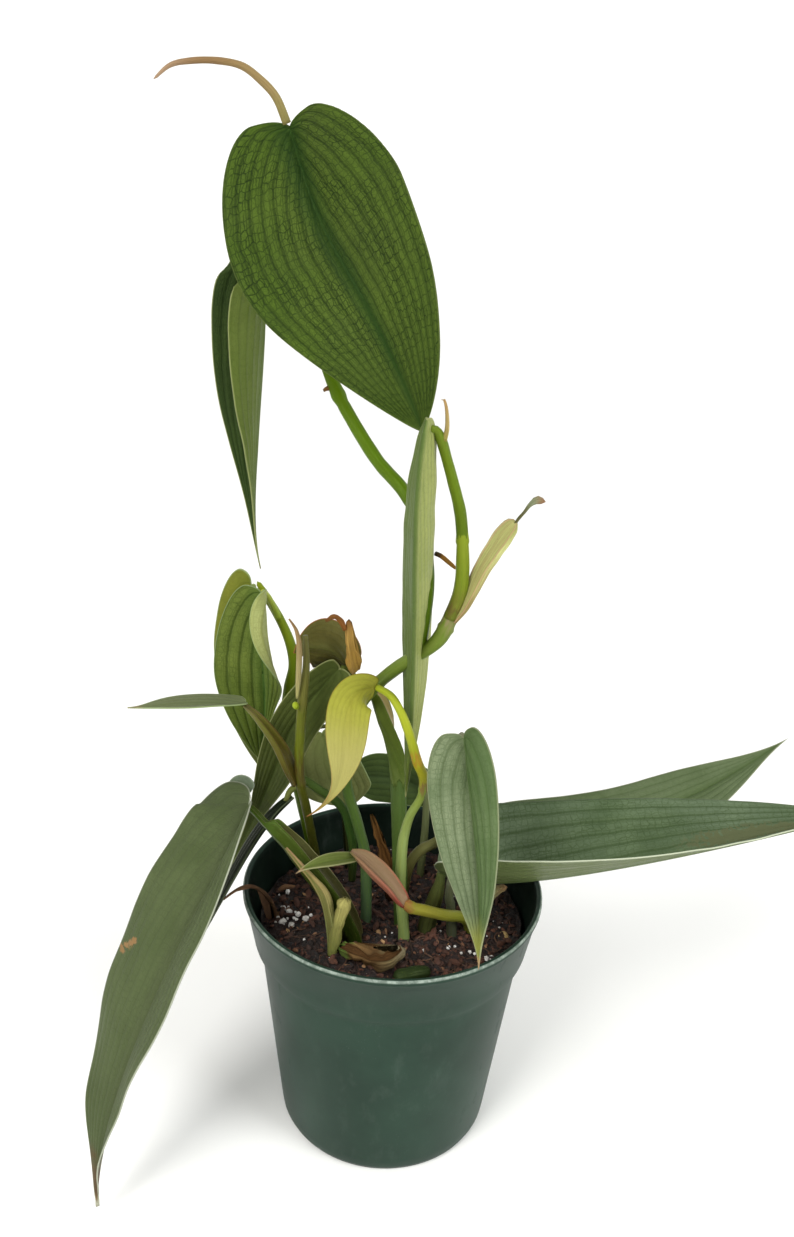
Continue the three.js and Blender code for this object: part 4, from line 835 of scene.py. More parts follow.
STALKS = {
    "top_shoot": dict(
        path=[(-43.3, 6, 370), (-46.5, 5, 377), (-51, 4, 381.5), (-56.5, 3, 385), (-64, 2, 386),
              (-71, 0, 385.5), (-76.5, -2, 384), (-81, -4, 380)],
        radii=[1.3, 1.3, 1.2, 1.1, 1, 0.9, 0.7, 0.35], slot="dry_sheath", round=("end",),
        look=with_stops(DRY, (0, "#817b49"), (0.3, "#8f7b53"), (0.7, "#866a4a"), (1, "#a48970"), shade=0.35,
                        bump=0.4, rough=0.5)),
    "upper_stem": dict(
        path=[(-43, 7.5, 369.4), (-41.5, 7.5, 357), (-38.6, 7, 334), (-33, 3, 310), (-27, -4, 295),
              (-20.5, -10, 285), (-11.5, -18, 274), (-2.5, -26, 266.5), (3.5, -31, 256.5), (6, -33, 242.5),
              (5.8, -33.5, 229.5), (4.4, -31, 215.5)],
        radii=[1.2, 1.5, 1.8, 1.9, 2.1, 2.1, 2.1, 2.1, 2, 2.1, 2.1, 2.2], slot="stem_green",
        rings=[(0.47, 0.35, 1.6)],
        look=with_stops(FRESH, (0, "#465a03"), (0.5, "#465d02"), (1, "#374b01"))),
    "rear_petiole": dict(
        path=[(-54.5, 12, 330), (-49.5, 10, 334), (-43.5, 8, 336.5), (-39.5, 6, 333)],
        radii=[1, 1.1, 1.3, 1.4], slot="stem_green",
        look=with_stops(FRESH, (0, "#66802a"), (1, "#5c7a1c"))),
    "folded_leaf_petiole": dict(
        path=[(3.8, -46, 291.5), (6, -44.6, 290.6), (7.7, -43.8, 287.2), (9.5, -43, 281.8),
              (11.5, -41.8, 275.5), (14.6, -39.7, 264.5), (16.2, -37.5, 251), (16.4, -36.2, 239),
              (14, -35.8, 229.5)], radii=[1, 1.3, 1.6, 1.6, 1.7, 1.8, 2, 2.3, 2.5], slot="stem_green",
        rings=[(0.595, 0.22, 0.9)],
        look=with_stops(FRESH, (0, "#5b691e"), (0.3, "#586913"), (0.585, "#4a5a11"), (0.595, "#798424"),
                        (0.8, "#69751e"), (0.94, "#626224"), (0.97, "#584a26"), (1, "#565720"))),
    "middle_stem": dict(
        path=[(14.6, -35.9, 231.5), (11.2, -34.8, 222.5), (7, -32, 216.5), (-1.5, -23, 206),
              (-9.5, -10, 192), (-15.5, -1, 178.5), (-19.5, 8, 160.5), (-19.5, 11, 139.5),
              (-14.5, 7, 124.5), (-11, 3, 111.5), (-9.5, -8.5, 90)],
        radii=[2.3, 2.5, 2.2, 2.2, 2.3, 2.2, 2, 2.1, 2.1, 2.1, 2.1], sunk=True, slot="stem_green",
        rings=[(0.035, 0.45, 0.9), (0.78, 0.3, 1.2)],
        look=with_stops(FRESH, (0, "#827258"), (0.06, "#616f2c"), (0.45, "#4f6025"), (0.7, "#42572c"),
                        (1, "#3f5143"))),
    "node_sheath": dict(
        path=[(14.6, -37.4, 229), (17.2, -37.4, 233.5), (19.6, -37.4, 239.6), (22.2, -37, 246.3),
              (25.2, -36.5, 252.2), (28, -36, 257.2), (30.2, -36, 260.6), (31.5, -36, 262)],
        radii=[1.2, 1.8, 2.3, 2.7, 3, 3.1, 2.6, 1], wings=[0.2, 0.4, 0.6, 0.7, 0.7, 0.6, 0.4, 0.1],
        open=(-0.9, -0.7, 0.2), slot="dry_sheath", ridges=14, ridge=0.05,
        look=with_stops(DRY, (0, "#847348"), (0.2, "#948752"), (0.42, "#b2ae71"), (0.75, "#c0c280"),
                        (1, "#a4a865"), fibre="#846d48", shade=0.6, rough=0.5, ribs=4.0, bump=0.5,
                        inside="#a4a668", rim="#c69a85")),
    "sheath_tip": dict(
        path=[(31, -36, 260.6), (33.4, -36, 264.4), (35.4, -36, 267.4), (37.6, -36, 268.9),
              (40, -36, 268.6)], radii=[0.5, 0.5, 0.6, 1.3, 0.5], slot="dry_sheath", crumple=0.5,
        round=("end",),
        look=with_stops(DRY, (0, "#5f6641"), (0.4, "#6a704e"), (0.7, "#95a582"), (1, "#a67d5e"))),
    "yellow_leaf_petiole": dict(
        path=[(-8.5, -22.5, 197.5), (-3.8, -27, 196.8), (-0.4, -31, 193.4), (2.2, -33, 188.2),
              (4.1, -32, 182), (6.2, -28, 173), (8.7, -22, 163.5), (8.3, -18, 153.3), (5, -16, 144.5),
              (3.4, -15, 136.6), (2.7, -16, 129.5), (2.9, -17.5, 114), (5, -19, 94.5)],
        radii=[1.2, 1.3, 1.4, 1.5, 1.6, 1.7, 1.7, 1.4, 1.6, 1.8, 1.9, 2, 2.1], sunk=True,
        slot="stem_yellow", rings=[(0.41, 0.2, 1.0)],
        look=with_stops(FRESH, (0, "#949e27"), (0.24, "#8f9522"), (0.27, "#9a7625"), (0.32, "#9d9822"),
                        (0.375, "#8d8a28"), (0.405, "#75603a"), (0.44, "#74853c"), (0.6, "#7a8a50"),
                        (1, "#6e7f4b"), fibre="#7a832a", shade=0.25)),
    "left_group_petiole": dict(
        path=[(-56.5, 33, 212), (-52.5, 32, 206), (-47, 29, 198), (-43, 26, 190), (-41.5, 24, 182),
              (-43, 23, 172.5), (-44, 24, 157), (-40, 27, 130), (-34, 27, 101), (-32, 26, 88)],
        radii=[0.9, 1.5, 1.7, 1.9, 2.1, 2.3, 2.1, 2.2, 2, 2], sunk=True, round=("start",),
        slot="stem_green",
        look=with_stops(FRESH, (0, "#777f17"), (0.3, "#5c6b0f"), (0.5, "#48590b"), (1, "#334408"))),
    "dry_shoot": dict(
        path=[(-39.9, -8, 214.6), (-38.2, -8, 212.1), (-37.1, -8.5, 210), (-36.3, -8.7, 205.8),
              (-36.2, -9, 199.2), (-36.4, -9.5, 191.7), (-36.7, -10, 185.6)],
        radii=[0.3, 0.5, 0.7, 0.95, 1.05, 0.9, 0.4], slot="dry_sheath",
        look=with_stops(DRY, (0, "#8c6742"), (0.3, "#9b845c"), (0.7, "#a79e6c"), (1, "#b2b06f"),
                        fibre="#756043", rough=0.55, bump=0.5)),
    "rear_stalk": dict(
        path=[(-34.5, -5, 207.5), (-34, -6, 196.5), (-34.9, -8, 184), (-35.4, -10, 171.5),
              (-35.5, -11, 161.5), (-35, -11, 152.5), (-33.5, -6, 140), (-32, 0, 125.5), (-30.5, 8, 108),
              (-29, 16, 88)], radii=[0.9, 1.3, 1.8, 1.8, 1.7, 1.8, 1.7, 1.7, 1.8, 1.8], sunk=True,
        slot="stem_olive", rings=[(0.4, 0.3, 0.9)],
        look=with_stops(OLIVE, (0, "#65613a"), (0.18, "#625f2b"), (0.24, "#575b1c"), (0.3, "#555c0f"),
                        (0.39, "#403312"), (0.43, "#3f400c"), (1, "#262709"))),
    "left_node_sheath": dict(
        path=[(-55.2, -9, 181.5), (-51, -10, 178), (-46.7, -10.5, 172.8), (-42.2, -11, 166.2),
              (-38.6, -11.5, 158.8), (-36, -12, 152.5)], radii=[0.9, 1.5, 2, 2.5, 2.9, 2.2],
        wings=[0.3, 0.8, 1.2, 1.2, 0.8, 0.3], open=(0.6, -0.3, 0.8), slot="stem_olive",
        look=with_stops(OLIVE, (0, "#656337"), (0.3, "#55571e"), (0.6, "#4d4a15"), (1, "#35320b"),
                        fibre="#553d1e", rim="#705d3a")),
    "left_petiole_base": dict(
        path=[(-53.1, -12, 142.7), (-49.5, -14, 140.5), (-46.4, -15.8, 138.3), (-44.9, -16.5, 137.2),
              (-41.4, -18, 135), (-37.2, -20, 132.3), (-32, -21.5, 126.8), (-24.5, -22.5, 117.7),
              (-17.7, -23, 107.6), (-12.2, -22.5, 94.6)],
        radii=[1.7, 1.9, 2, 2.1, 2.7, 3.2, 3.9, 4.6, 5, 5.4],
        wings=[0.1, 0.1, 0.1, 2.9, 3, 3, 3.2, 3.2, 2.8, 2], open=(0.82, 0.05, 0.65), sunk=True,
        slot="stem_green",
        look=with_stops(OLIVE, (0, "#445c18"), (0.16, "#3f541d"), (0.24, "#32410f"), (0.45, "#2b3809"),
                        (0.8, "#212e09"), (1, "#132106"), fibre="#2f3114", shade=0.3, inside="#3e3b1d",
                        inside_starts=(0.17, 0.2), rim="#887f57")),
    "dry_pale_sheath": dict(
        path=[(-38.3, -26, 134.6), (-33.5, -28, 129.9), (-28.4, -29.5, 124.6), (-24.3, -30.5, 118.9),
              (-22.4, -31, 112.1), (-21.3, -31.5, 104.1), (-20.8, -31.5, 93)],
        radii=[0.5, 0.9, 1.3, 2.1, 2.1, 2.2, 2.2], wings=[0.2, 0.4, 0.6, 0.9, 0.8, 0.5, 0.2],
        open=(-0.7, -0.6, 0.3), sunk=True, slot="dry_sheath",
        look=with_stops(DRY, (0, "#967556"), (0.25, "#998656"), (0.6, "#8c9156"), (1, "#707d41"),
                        fibre="#53512d", shade=0.45, rough=0.55, bump=0.5, inside="#757440")),
    "small_leaf_stem": dict(
        path=[(4.2, -28.5, 116.5), (7, -28, 113.5), (12, -26, 111), (19.5, -20, 105), (27, -13, 99),
              (30, -8, 90)], radii=[2.0, 2.2, 2.1, 2.1, 2.1, 2.0], sunk=True, slot="stem_green",
        round=("start",), rings=[(0.07, 0.2, 0.8)],
        look=with_stops(OLIVE, (0, "#7c452e"), (0.05, "#805a2f"), (0.1, "#7d772a"), (0.6, "#737727"),
                        (1, "#6c732a"), fibre="#5e5e1c", shade=0.3)),
    "small_leaf_sheath": dict(
        path=[(-15.5, -20.5, 131), (-11.5, -22.5, 130), (-6.5, -25, 127), (-1, -27, 122), (3, -28.2, 117.5),
              (5, -28.5, 115.5)], radii=[0.9, 2.4, 3.2, 2.9, 2.5, 2.2],
        wings=[0.3, 1.6, 2.4, 2.6, 1.6, 0.4], open=(0.35, -0.6, 0.75), slot="stem_pink",
        node="small_leaf_stem",
        look=with_stops(OLIVE, (0, "#776a44"), (0.2, "#80604a"), (0.7, "#8a5244"), (0.94, "#7c3630"),
                        (1, "#6c3028"), fibre="#6e5c3c", shade=0.35, inside="#7d6450")),
    "grey_stalk": dict(
        path=[(-12, 4, 184), (-8.4, 2.4, 181), (-4.8, -0.4, 173.6), (-1.6, -2.3, 164.8), (0, -3.8, 153.5),
              (0.7, -4.6, 141), (1.6, -6, 125), (2.6, -7, 110.2), (4, -7, 90)],
        radii=[1.6, 3, 3.6, 3.5, 3.1, 2.9, 2.7, 2.7, 2.8],
        wings=[0.6, 1.8, 1.8, 0.8, 0.3, 0.1, 0.1, 0.1, 0.1], open=(0.8, -0.2, 0.5), turns_to=(0.1, 1, 0.1),
        sunk=True, slot="stem_grey",
        look=with_stops(OLIVE, (0, "#424f12"), (0.15, "#424f18"), (0.28, "#4b5c22"), (0.345, "#5a6932"),
                        (0.355, "#344516"), (0.365, "#4a6030"), (0.55, "#475e2a"), (1, "#2d4319"),
                        fibre="#353c14", shade=0.3, rough=0.45, inside="#837245",
                        inside_fades=(0.2, 0.26))),
    "right_leaf_petiole": dict(
        path=[(18, -6, 113.8), (17.6, -6.6, 110), (16.2, -7.4, 104), (14.4, -8.4, 97), (13, -10, 88)],
        radii=[1.6, 1.9, 2.6, 3, 3.2], wings=[0.2, 0.6, 1.6, 2, 1.4], open=(0.5, 0.8, 0.3), sunk=True,
        slot="stem_olive",
        look=with_stops(OLIVE, (0, "#434c2a"), (0.3, "#414323"), (1, "#222c1f"), rim="#60453c")),
    "dry_sheath_stub": dict(
        path=[(-20.2, 4.5, 210.5), (-20, 4, 205), (-19.2, 4, 199), (-18, 5.5, 193), (-17.5, 7.6, 189)],
        radii=[0.8, 1.3, 1.8, 2.2, 1.6], wings=[0.2, 0.8, 1.2, 1.4, 0.6], open=(0.6, -0.8, 0.1),
        slot="dry_brown", crumple=0.5, round=("start",),
        look=with_stops(DRY, (0, "#906037"), (0.3, "#b7934d"), (0.7, "#af8c43"), (1, "#9a7b39"),
                        fibre="#6e4b28", shade=0.5)),
    "aerial_root": dict(
        path=[(8, -32.5, 249.3), (9.5, -32, 248.5), (12.5, -31, 246), (15, -30, 243.5)],
        radii=[0.75, 0.75, 0.7, 0.4], slot="dry_brown", crumple=0.2, round=("end",),
        look=with_stops(DRY, (0, "#2c2620"), (0.15, "#4a3424"), (0.3, "#b07a30"), (1, "#b8863c"))),
    "brown_dry_stalk": dict(
        path=[(-9.9, 17, 123.3), (-7.6, 14, 118), (-5.4, 12, 112.6), (-3.1, 10, 106.2), (-0.8, 9, 98.6)],
        radii=[0.6, 1.1, 1.5, 1.8, 1.8], wings=[0.4, 1, 1.4, 1, 0.4], open=(0.2, -0.9, 0.4), sunk=True,
        slot="dry_brown", crumple=0.7, ridges=7, ridge=0.12,
        look=with_stops(DRY, (0, "#6a4a26"), (0.4, "#5a3a1c"), (1, "#2c1c10"), fibre="#3a2210", shade=0.7)),
    "silver_leaf_petiole": dict(
        path=[(21.5, -25.6, 182.4), (20.4, -22.8, 179.5), (20.5, -26, 163), (21, -29.5, 142),
              (21, -28, 131), (20.8, -20.5, 118.5), (21, -15, 109), (22, -12.2, 103), (23.2, -11, 88)],
        radii=[1, 1.3, 1.4, 1.5, 1.5, 1.6, 1.7, 1.8, 2], sunk=True, slot="stem_olive",
        look=with_stops(OLIVE, (0, "#71735e"), (1, "#3f4337"))),
    "right_stub": dict(
        path=[(43, -8, 110.2), (39.5, -8, 108.8), (36, -9, 104.5), (34, -9.5, 98), (33, -10, 90)],
        radii=[1, 1.6, 1.8, 1.7, 1.5], sunk=True, slot="dry_sheath", crumple=0.3, round=("start",),
        look=with_stops(DRY, (0, "#8c6a4c"), (0.15, "#83805a"), (0.4, "#5c5a38"), (1, "#1e1812"))),
    "side_root": dict(
        path=[(-62.5, -17, 104.5), (-57, -14, 107.6), (-52, -11, 106.6), (-47, -9, 101), (-44, -8, 92)],
        radii=[0.4, 0.6, 0.7, 0.7, 0.7], sunk=True, slot="dry_brown", crumple=0.2,
        look=with_stops(DRY, (0, "#81604d"), (1, "#684e3d"))),
    "dry_curled_leaf": dict(
        path=[(-18, -32.5, 98), (-14.5, -35, 98.4), (-10, -37, 98.2), (-5.5, -38, 97), (-1, -38, 97.4),
              (2.4, -37.3, 99), (4.2, -36.5, 101.6), (2.6, -36, 103)],
        radii=[1.8, 2.2, 2.6, 2.5, 2.3, 1.8, 1.3, 0.7], wings=[1, 1.8, 2.4, 2.4, 2, 1.5, 0.9, 0.3],
        open=(-0.2, -0.2, 0.95), slot="dry_brown", crumple=0.9, round=("start", "end"),
        look=with_stops(DRY, (0, "#4f6c2c"), (0.16, "#637738"), (0.24, "#765a38"), (0.5, "#62482e"),
                        (0.75, "#7b6c4b"), (1, "#94896d"), fibre="#352516", shade=0.55, inside="#533720")),
    "lying_stem": dict(
        path=[(1.5, -42, 93.4), (6, -41, 94), (10.5, -39.4, 94), (15, -37, 93)], radii=[2.2, 2.6, 2.6, 2],
        slot="stem_green", round=("start", "end"), crumple=0.15,
        look=with_stops(FRESH, (0, "#27341a"), (1, "#222c15"), fibre="#253118")),
    "dry_strip": dict(
        path=[(-46, 12, 88.4), (-42, 13.5, 89.6), (-38, 14, 89)], radii=[0.7, 1.1, 0.6], slot="dry_brown",
        crumple=0.4, round=("start", "end"),
        look=with_stops(DRY, (0, "#966f56"), (1, "#ae8465"))),
    "bark_chip": dict(
        path=[(40.5, -8, 88), (43.5, -10, 88.6), (46, -12.5, 88)], radii=[1, 1.7, 0.9], slot="bark",
        crumple=0.5, round=("start", "end"),
        look=with_stops(DRY, (0, "#c2a878"), (1, "#b0905e"), shade=0.3)),
    "brown_ligule": dict(
        path=[(8.3, -44.4, 287.8), (8.9, -44.8, 291.5), (8.5, -45, 296.5), (7.6, -45, 299.6),
              (6.6, -45, 299.6)], radii=[0.8, 0.65, 0.5, 0.35, 0.25], slot="dry_brown", round=("end",),
        look=with_stops(DRY, (0, "#afa851"), (0.4, "#cab475"), (1, "#d5ac70"))),
    "striped_leaf_petiole": dict(
        path=[(-53, 22, 212.4), (-51.5, 25, 209.5), (-49.5, 28, 203.5), (-48, 29, 199.5)],
        radii=[0.9, 1.1, 1.3, 1.4], slot="stem_green",
        look=with_stops(FRESH, (0, "#a4ab4d"), (1, "#879733"))),
    "dark_rear_petiole": dict(
        path=[(-22.6, 6.2, 190.8), (-19, 8.5, 188), (-17.5, 6.5, 180), (-18, 4.5, 171.5)],
        radii=[0.9, 1.4, 1.5, 1.5], slot="stem_olive",
        look=with_stops(OLIVE, (0, "#4a5624"), (1, "#3e4a1e"))),
    "low_rear_petiole": dict(
        path=[(9, 40, 130), (11.5, 38, 123), (12, 33, 108), (11, 29, 88)], radii=[1, 1.3, 1.5, 1.6],
        sunk=True, slot="stem_olive",
        look=with_stops(OLIVE, (0, "#616848"), (1, "#4f5435"))),
    "low_middle_petiole": dict(
        path=[(-32.3, 29.4, 153.8), (-28, 33, 151), (-24, 35, 135), (-21, 34, 108), (-19, 32, 87)],
        radii=[0.7, 0.9, 1, 1.1, 1.2], sunk=True, slot="stem_olive",
        # Its near-black colours are painted shade, for a stalk that runs in shadow behind the stems.
        look=with_stops(OLIVE, (0, "#2c2e1d"), (0.4, "#11120c"), (1, "#0a0b08"))),
    "rear_right_petiole": dict(
        path=[(41.5, 24, 118.6), (34, 20.5, 121.5), (24.5, 16, 119.5), (15.3, 10, 116.1), (10.1, 6, 115.3),
              (6.4, 3.6, 111), (4.8, 3, 103), (4.2, 4, 87)], radii=[1.1, 1.5, 1.8, 2, 2.1, 2, 1.9, 1.9],
        sunk=True, slot="stem_olive",
        look=with_stops(OLIVE, (0, "#5a5a36"), (0.45, "#625f38"), (0.62, "#4c4724"), (0.8, "#2a2819"),
                        (1, "#222113"))),
    "dark_left_petiole": dict(
        path=[(-41.8, 3.4, 135.4), (-40.5, 6, 138.5), (-37, 9, 140), (-35.9, 12, 140), (-29.8, 13, 135.3),
              (-23.9, 13, 131.2), (-19.9, 12, 126.7), (-17.7, 11, 119.4), (-16.2, 10, 111)],
        radii=[1, 1.2, 1.4, 1.6, 1.7, 1.7, 1.7, 1.7, 1.7], sunk=True, slot="stem_olive",
        look=with_stops(OLIVE, (0, "#6a6c38"), (0.25, "#3f5524"), (0.6, "#2a4a1c"), (1, "#1e2a12"))),
}

# Small dry remains that the source's solids leave out; each one sits on the stalk it grew from.
REMAINS = {
    "dry_prong": dict(
        path=[(-20.4, -32, 94), (-19.9, -32.3, 100.2), (-18.8, -33, 107.5), (-17.4, -33.6, 114.2),
              (-16.3, -34, 120.4)], radii=[2, 2.1, 2.1, 2.2, 2.5], slot="dry_sheath", crumple=0.25,
        node=None, ridges=5, ridge=0.08, round=("end",),
        look=with_stops(DRY, (0, "#848c48"), (1, "#a39c5c"), fibre="#7a7440", shade=0.5, rough=0.55)),
    "olive_dry_curl": dict(
        path=[(-28, 2, 210.5), (-25, 1, 212.5), (-23, 2, 211), (-21.5, 3, 207)], radii=[0.7, 0.9, 0.9, 0.9],
        slot="dry_brown", crumple=0.5, node=None,
        look=with_stops(DRY, (0, "#8a5a30"), (1, "#a0602c"))),
    "green_bud": dict(
        path=[(-36.4, -10.6, 182), (-37, -11.4, 183.6), (-37.3, -11.8, 185)], radii=[0.8, 1.15, 0.7],
        slot="stem_yellow", round=("start", "end"), node=None,
        look=with_stops(FRESH, (0, "#7f8f1c"), (1, "#98a52c"))),
    "stem_scar": dict(
        path=[(-27, -4, 293.5), (-28.6, -5.5, 293.3), (-29.8, -6, 292.6)], radii=[0.9, 0.7, 0.4],
        slot="dry_brown", crumple=0.4, node=None,
        look=with_stops(DRY, (0, "#7d6a34"), (1, "#8a6038"))),
}


# Pot
def pot_profile():
    """Half of the pot's section, from under the middle of the floor over the rim to the floor inside."""
    foot = POT_HEIGHT - BAND_HEIGHT
    outside = [
        (0, 0.6), (BASE_RADIUS - 9, 0.6), (BASE_RADIUS - 6, 0), (BASE_RADIUS - 2.4, 0),
        (BASE_RADIUS - 0.9, 0.7), (BASE_RADIUS, 2.6), (BASE_RADIUS + 0.5, 6),
        (WALL_TOP_RADIUS - 0.4, foot - 5), (WALL_TOP_RADIUS, foot - 1.4),
        (WALL_TOP_RADIUS + 0.5, foot - 0.7), (BAND_FOOT_RADIUS - 1.0, foot - 0.5),
        (BAND_FOOT_RADIUS - 0.25, foot - 0.2), (BAND_FOOT_RADIUS, foot + 0.7),
        (BAND_FOOT_RADIUS + 0.6, foot + 4), (RIM_RADIUS - 0.9, POT_HEIGHT - 3.2),
        (RIM_RADIUS - 0.25, POT_HEIGHT - 2.5), (RIM_RADIUS, POT_HEIGHT - 1.7),
        (RIM_RADIUS - 0.05, POT_HEIGHT - 0.7), (RIM_RADIUS - 0.5, POT_HEIGHT - 0.1),
        (RIM_RADIUS - 1.0, POT_HEIGHT)]
    inside = [
        (RIM_RADIUS - 1.7, POT_HEIGHT - 0.1), (RIM_RADIUS - 2.2, POT_HEIGHT - 0.7),
        (RIM_RADIUS - 2.6, POT_HEIGHT - 3), (BAND_FOOT_RADIUS - WALL + 0.2, foot + 2),
        (BAND_FOOT_RADIUS - WALL - 0.6, foot + 0.3), (WALL_TOP_RADIUS - WALL, foot - 1.6),
        (BASE_RADIUS - WALL, FLOOR + 1.6), (BASE_RADIUS - WALL - 1.5, FLOOR), (0, FLOOR)]
    return outside + inside


def spin_profile(profile, steps):
    form = bmesh.new()
    points = [form.verts.new((x * MM, 0, z * MM)) for x, z in profile]
    edges = [form.edges.new(pair) for pair in zip(points, points[1:])]
    bmesh.ops.spin(form, geom=points + edges, cent=(0, 0, 0), axis=(0, 0, 1), angle=2 * math.pi,
                   steps=steps, use_merge=True)
    bmesh.ops.remove_doubles(form, verts=form.verts, dist=1e-6)
    bmesh.ops.recalc_face_normals(form, faces=form.faces)
    for face in form.faces:
        face.smooth = True
    return form


def pot_material(name, low, high, dusty, wear_and_highlight):
    """The pot's plastic, cloudy between two greens, with dust and a chipped lip edge, partly painted
    highlight.
    """
    made, tree = new_material(name)
    marks = place_group(tree, POT_MARKS, {"Place": object_place(tree)})
    colour = mix(tree, marks["Cloud"], rgb(low), rgb(high))
    # The lip's pale line is partly chipped plastic and partly a painted highlight.
    for mask, strength, tint in (("Dust", dusty, "#6d7570"), ("Splash", dusty, "#9aa39e"),
                                 ("Worn_edge_and_highlight", wear_and_highlight, "#a3b0a4")):
        colour = tinted(tree, colour, marks[mask], strength, tint)
    rough = span(tree, marks["Dust"], 0.0, 1.0, 0.42, 0.6)
    finish_material(tree, colour, rough, marks["Relief"], 0.12, 0.0003, Specular_IOR_Level=0.14)
    return made


def make_pot():
    form = spin_profile(pot_profile(), 144)
    for k in range(DRAINS):
        angle = (k + 0.5) / DRAINS * 2 * math.pi
        middle = Vector((DRAIN_RING * math.cos(angle), DRAIN_RING * math.sin(angle), 0)) * MM
        bore = bmesh.new()
        bmesh.ops.create_cone(bore, cap_ends=True, segments=28, radius1=DRAIN_RADIUS * MM,
                              radius2=DRAIN_RADIUS * MM, depth=12 * MM)
        bmesh.ops.translate(bore, verts=bore.verts, vec=middle)
        form = cut(form, bore)
    for face in form.faces:
        face.smooth = True
        middle = face.calc_center_median() / MM
        inward = face.normal.xy.dot(middle.xy) < -0.2 * middle.xy.length
        inner = (inward or face.normal.z > 0.5) and 1.5 < middle.z < POT_HEIGHT - 1.5
        face.material_index = 1 if inner else 0
    mark_sharp(form, 50)
    outside = pot_material("green_pot_plastic", "#1b2f24", "#22382c", 0.14, 0.8)
    # The inner faces take darker greens: painted shade inside the pot.
    inside = pot_material("pot_inside_painted_shade", "#0f1a14", "#152219", 0.12, 0.3)
    make_piece("pot_shell", form, [outside, inside], "pot_plastic", "pot")


def cut(form, bore):
    """form less bore, worked out with the exact boolean."""
    body, tool = [new_object("part", bpy.data.meshes.new("part")) for _ in range(2)]
    for target, source in ((body, form), (tool, bore)):
        source.to_mesh(target.data)
        source.free()
    step = body.modifiers.new("cut", "BOOLEAN")
    step.operation, step.solver, step.object = "DIFFERENCE", "EXACT", tool
    result = bmesh.new()
    result.from_object(body, bpy.context.evaluated_depsgraph_get())
    for used in (body, tool):
        bpy.data.objects.remove(used)
    return result


def mark_sharp(form, degrees):
    for edge in form.edges:
        if edge.is_manifold and edge.calc_face_angle(0) > math.radians(degrees):
            edge.smooth = False


# Potting mix
SOIL_LEVEL = 89.0
SOIL_EDGE = 50.4
SOIL_TOP = 0.8
SOIL_WALL = [(SOIL_TOP, SOIL_EDGE, None), (0.84, 48.7, 81.0), (0.95, 39.5, 4.0), (0.97, 38, 2.3),
             (1.0, 0, 2.3)]
FIBRE_FIELD = 47
FIBRE_POINTS = 6
LARGE_STONES = [(-41.6, -2), (-39, -5.4), (-35.6, -7.8), (-32.3, -10.1), (-40.9, -11.4), (-37.6, -13.2),
                (-41.4, 9.5)]
SMALL_STONE = ((0.8, 1), (0.7, 0.95))
rand = random.Random(7)


def soil_height(x, y):
    mound = 4.5 * math.exp(-((x + 18) ** 2 + (y + 30) ** 2) / 700)
    lumps = math.sin(x * 0.41 + 1.3) * math.sin(y * 0.37 + 0.4) + 0.55 * math.sin(
        x * 0.93 + y * 0.71) * math.cos(y * 1.07 - x * 0.33)
    return SOIL_LEVEL + mound - 0.05 * y + 0.96 * lumps


def crumbs(x, y):
    """Fine relief of the mix, on top of its large shape."""
    spot = Vector((x, y, 0))
    return (1.0 * noise.noise(spot * 0.22) + 0.9 * noise.noise(spot * 0.55 + Vector((7, 3, 1)))
            + 0.45 * noise.noise(spot * 1.3 + Vector((2, 9, 4))))


def soil_shape(x, y):
    """The mix turned about its axis: its lumpy top, its side along the wall and its flat underside."""
    turn = 2 * math.pi * x
    if y <= SOIL_TOP:
        radius = SOIL_EDGE * (y / SOIL_TOP) ** 0.8
        px, py = radius * math.sin(turn), radius * math.cos(turn)
        return Vector((px, py, soil_height(px, py) + crumbs(px, py))), (x, y), (0, 0)
    for (low, r0, z0), (high, r1, z1) in zip(SOIL_WALL, SOIL_WALL[1:]):
        if y <= high + 1e-6:
            f = (y - low) / (high - low)
            radius = r0 + (r1 - r0) * f
            px, py = radius * math.sin(turn), radius * math.cos(turn)
            start = soil_height(px, py) if z0 is None else z0
            return Vector((px, py, start + (z1 - start) * f)), (x, y), (0, 0)
    raise ValueError("the soil's section ends at 1")


def soil_material():
    made, tree = new_material("potting_mix_surface")
    place = object_place(tree)
    clod = patches(tree, 0.38, 0.66, place, 330.0, 4.0, 0.7)
    colour = mix(tree, clod, rgb("#100a09"), rgb("#2c1c15"))
    red = patches(tree, 0.5, 0.7, place, 90.0, 3.0, 0.6)
    colour = tinted(tree, colour, red, 0.5, "#3a1f16")
    fibre = patches(tree, 0.56, 0.72, stretch(tree, place, (1.0, 3.5, 1.0)), 520.0, 4.0, 0.7, 1.5)
    colour = tinted(tree, colour, fibre, 0.6, "#56392a")
    fleck = patches(tree, 0.68, 0.74, place, 1500.0, 2.0, 0.6)
    colour = tinted(tree, colour, fleck, 0.7, "#a08a74")
    height = plus(tree, grain(tree, place, 700.0, 4.0, 0.7), times(tree, clod, 0.8))
    finish_material(tree, colour, span(tree, clod, 0.0, 1.0, 0.55, 0.9), height, 0.9, 0.0012)
    return made


def tinted_material(name, low, high, rough, bump=0.7):
    """A loose grain's finish: each one has its own tint between two colours."""
    made, tree = new_material(name)
    tint = add(tree, "ShaderNodeAttribute", attribute_name="tint").outputs["Fac"]
    pits = place_group(tree, PITS, {"Place": object_place(tree)})["Pits"]
    colour = mix(tree, tint, rgb(low), rgb(high))
    colour = tinted(tree, colour, span(tree, pits, 0.45, 0.7), 0.5, "#2a1c14")
    finish_material(tree, colour, rough, pits, bump, 0.0006)
    return made


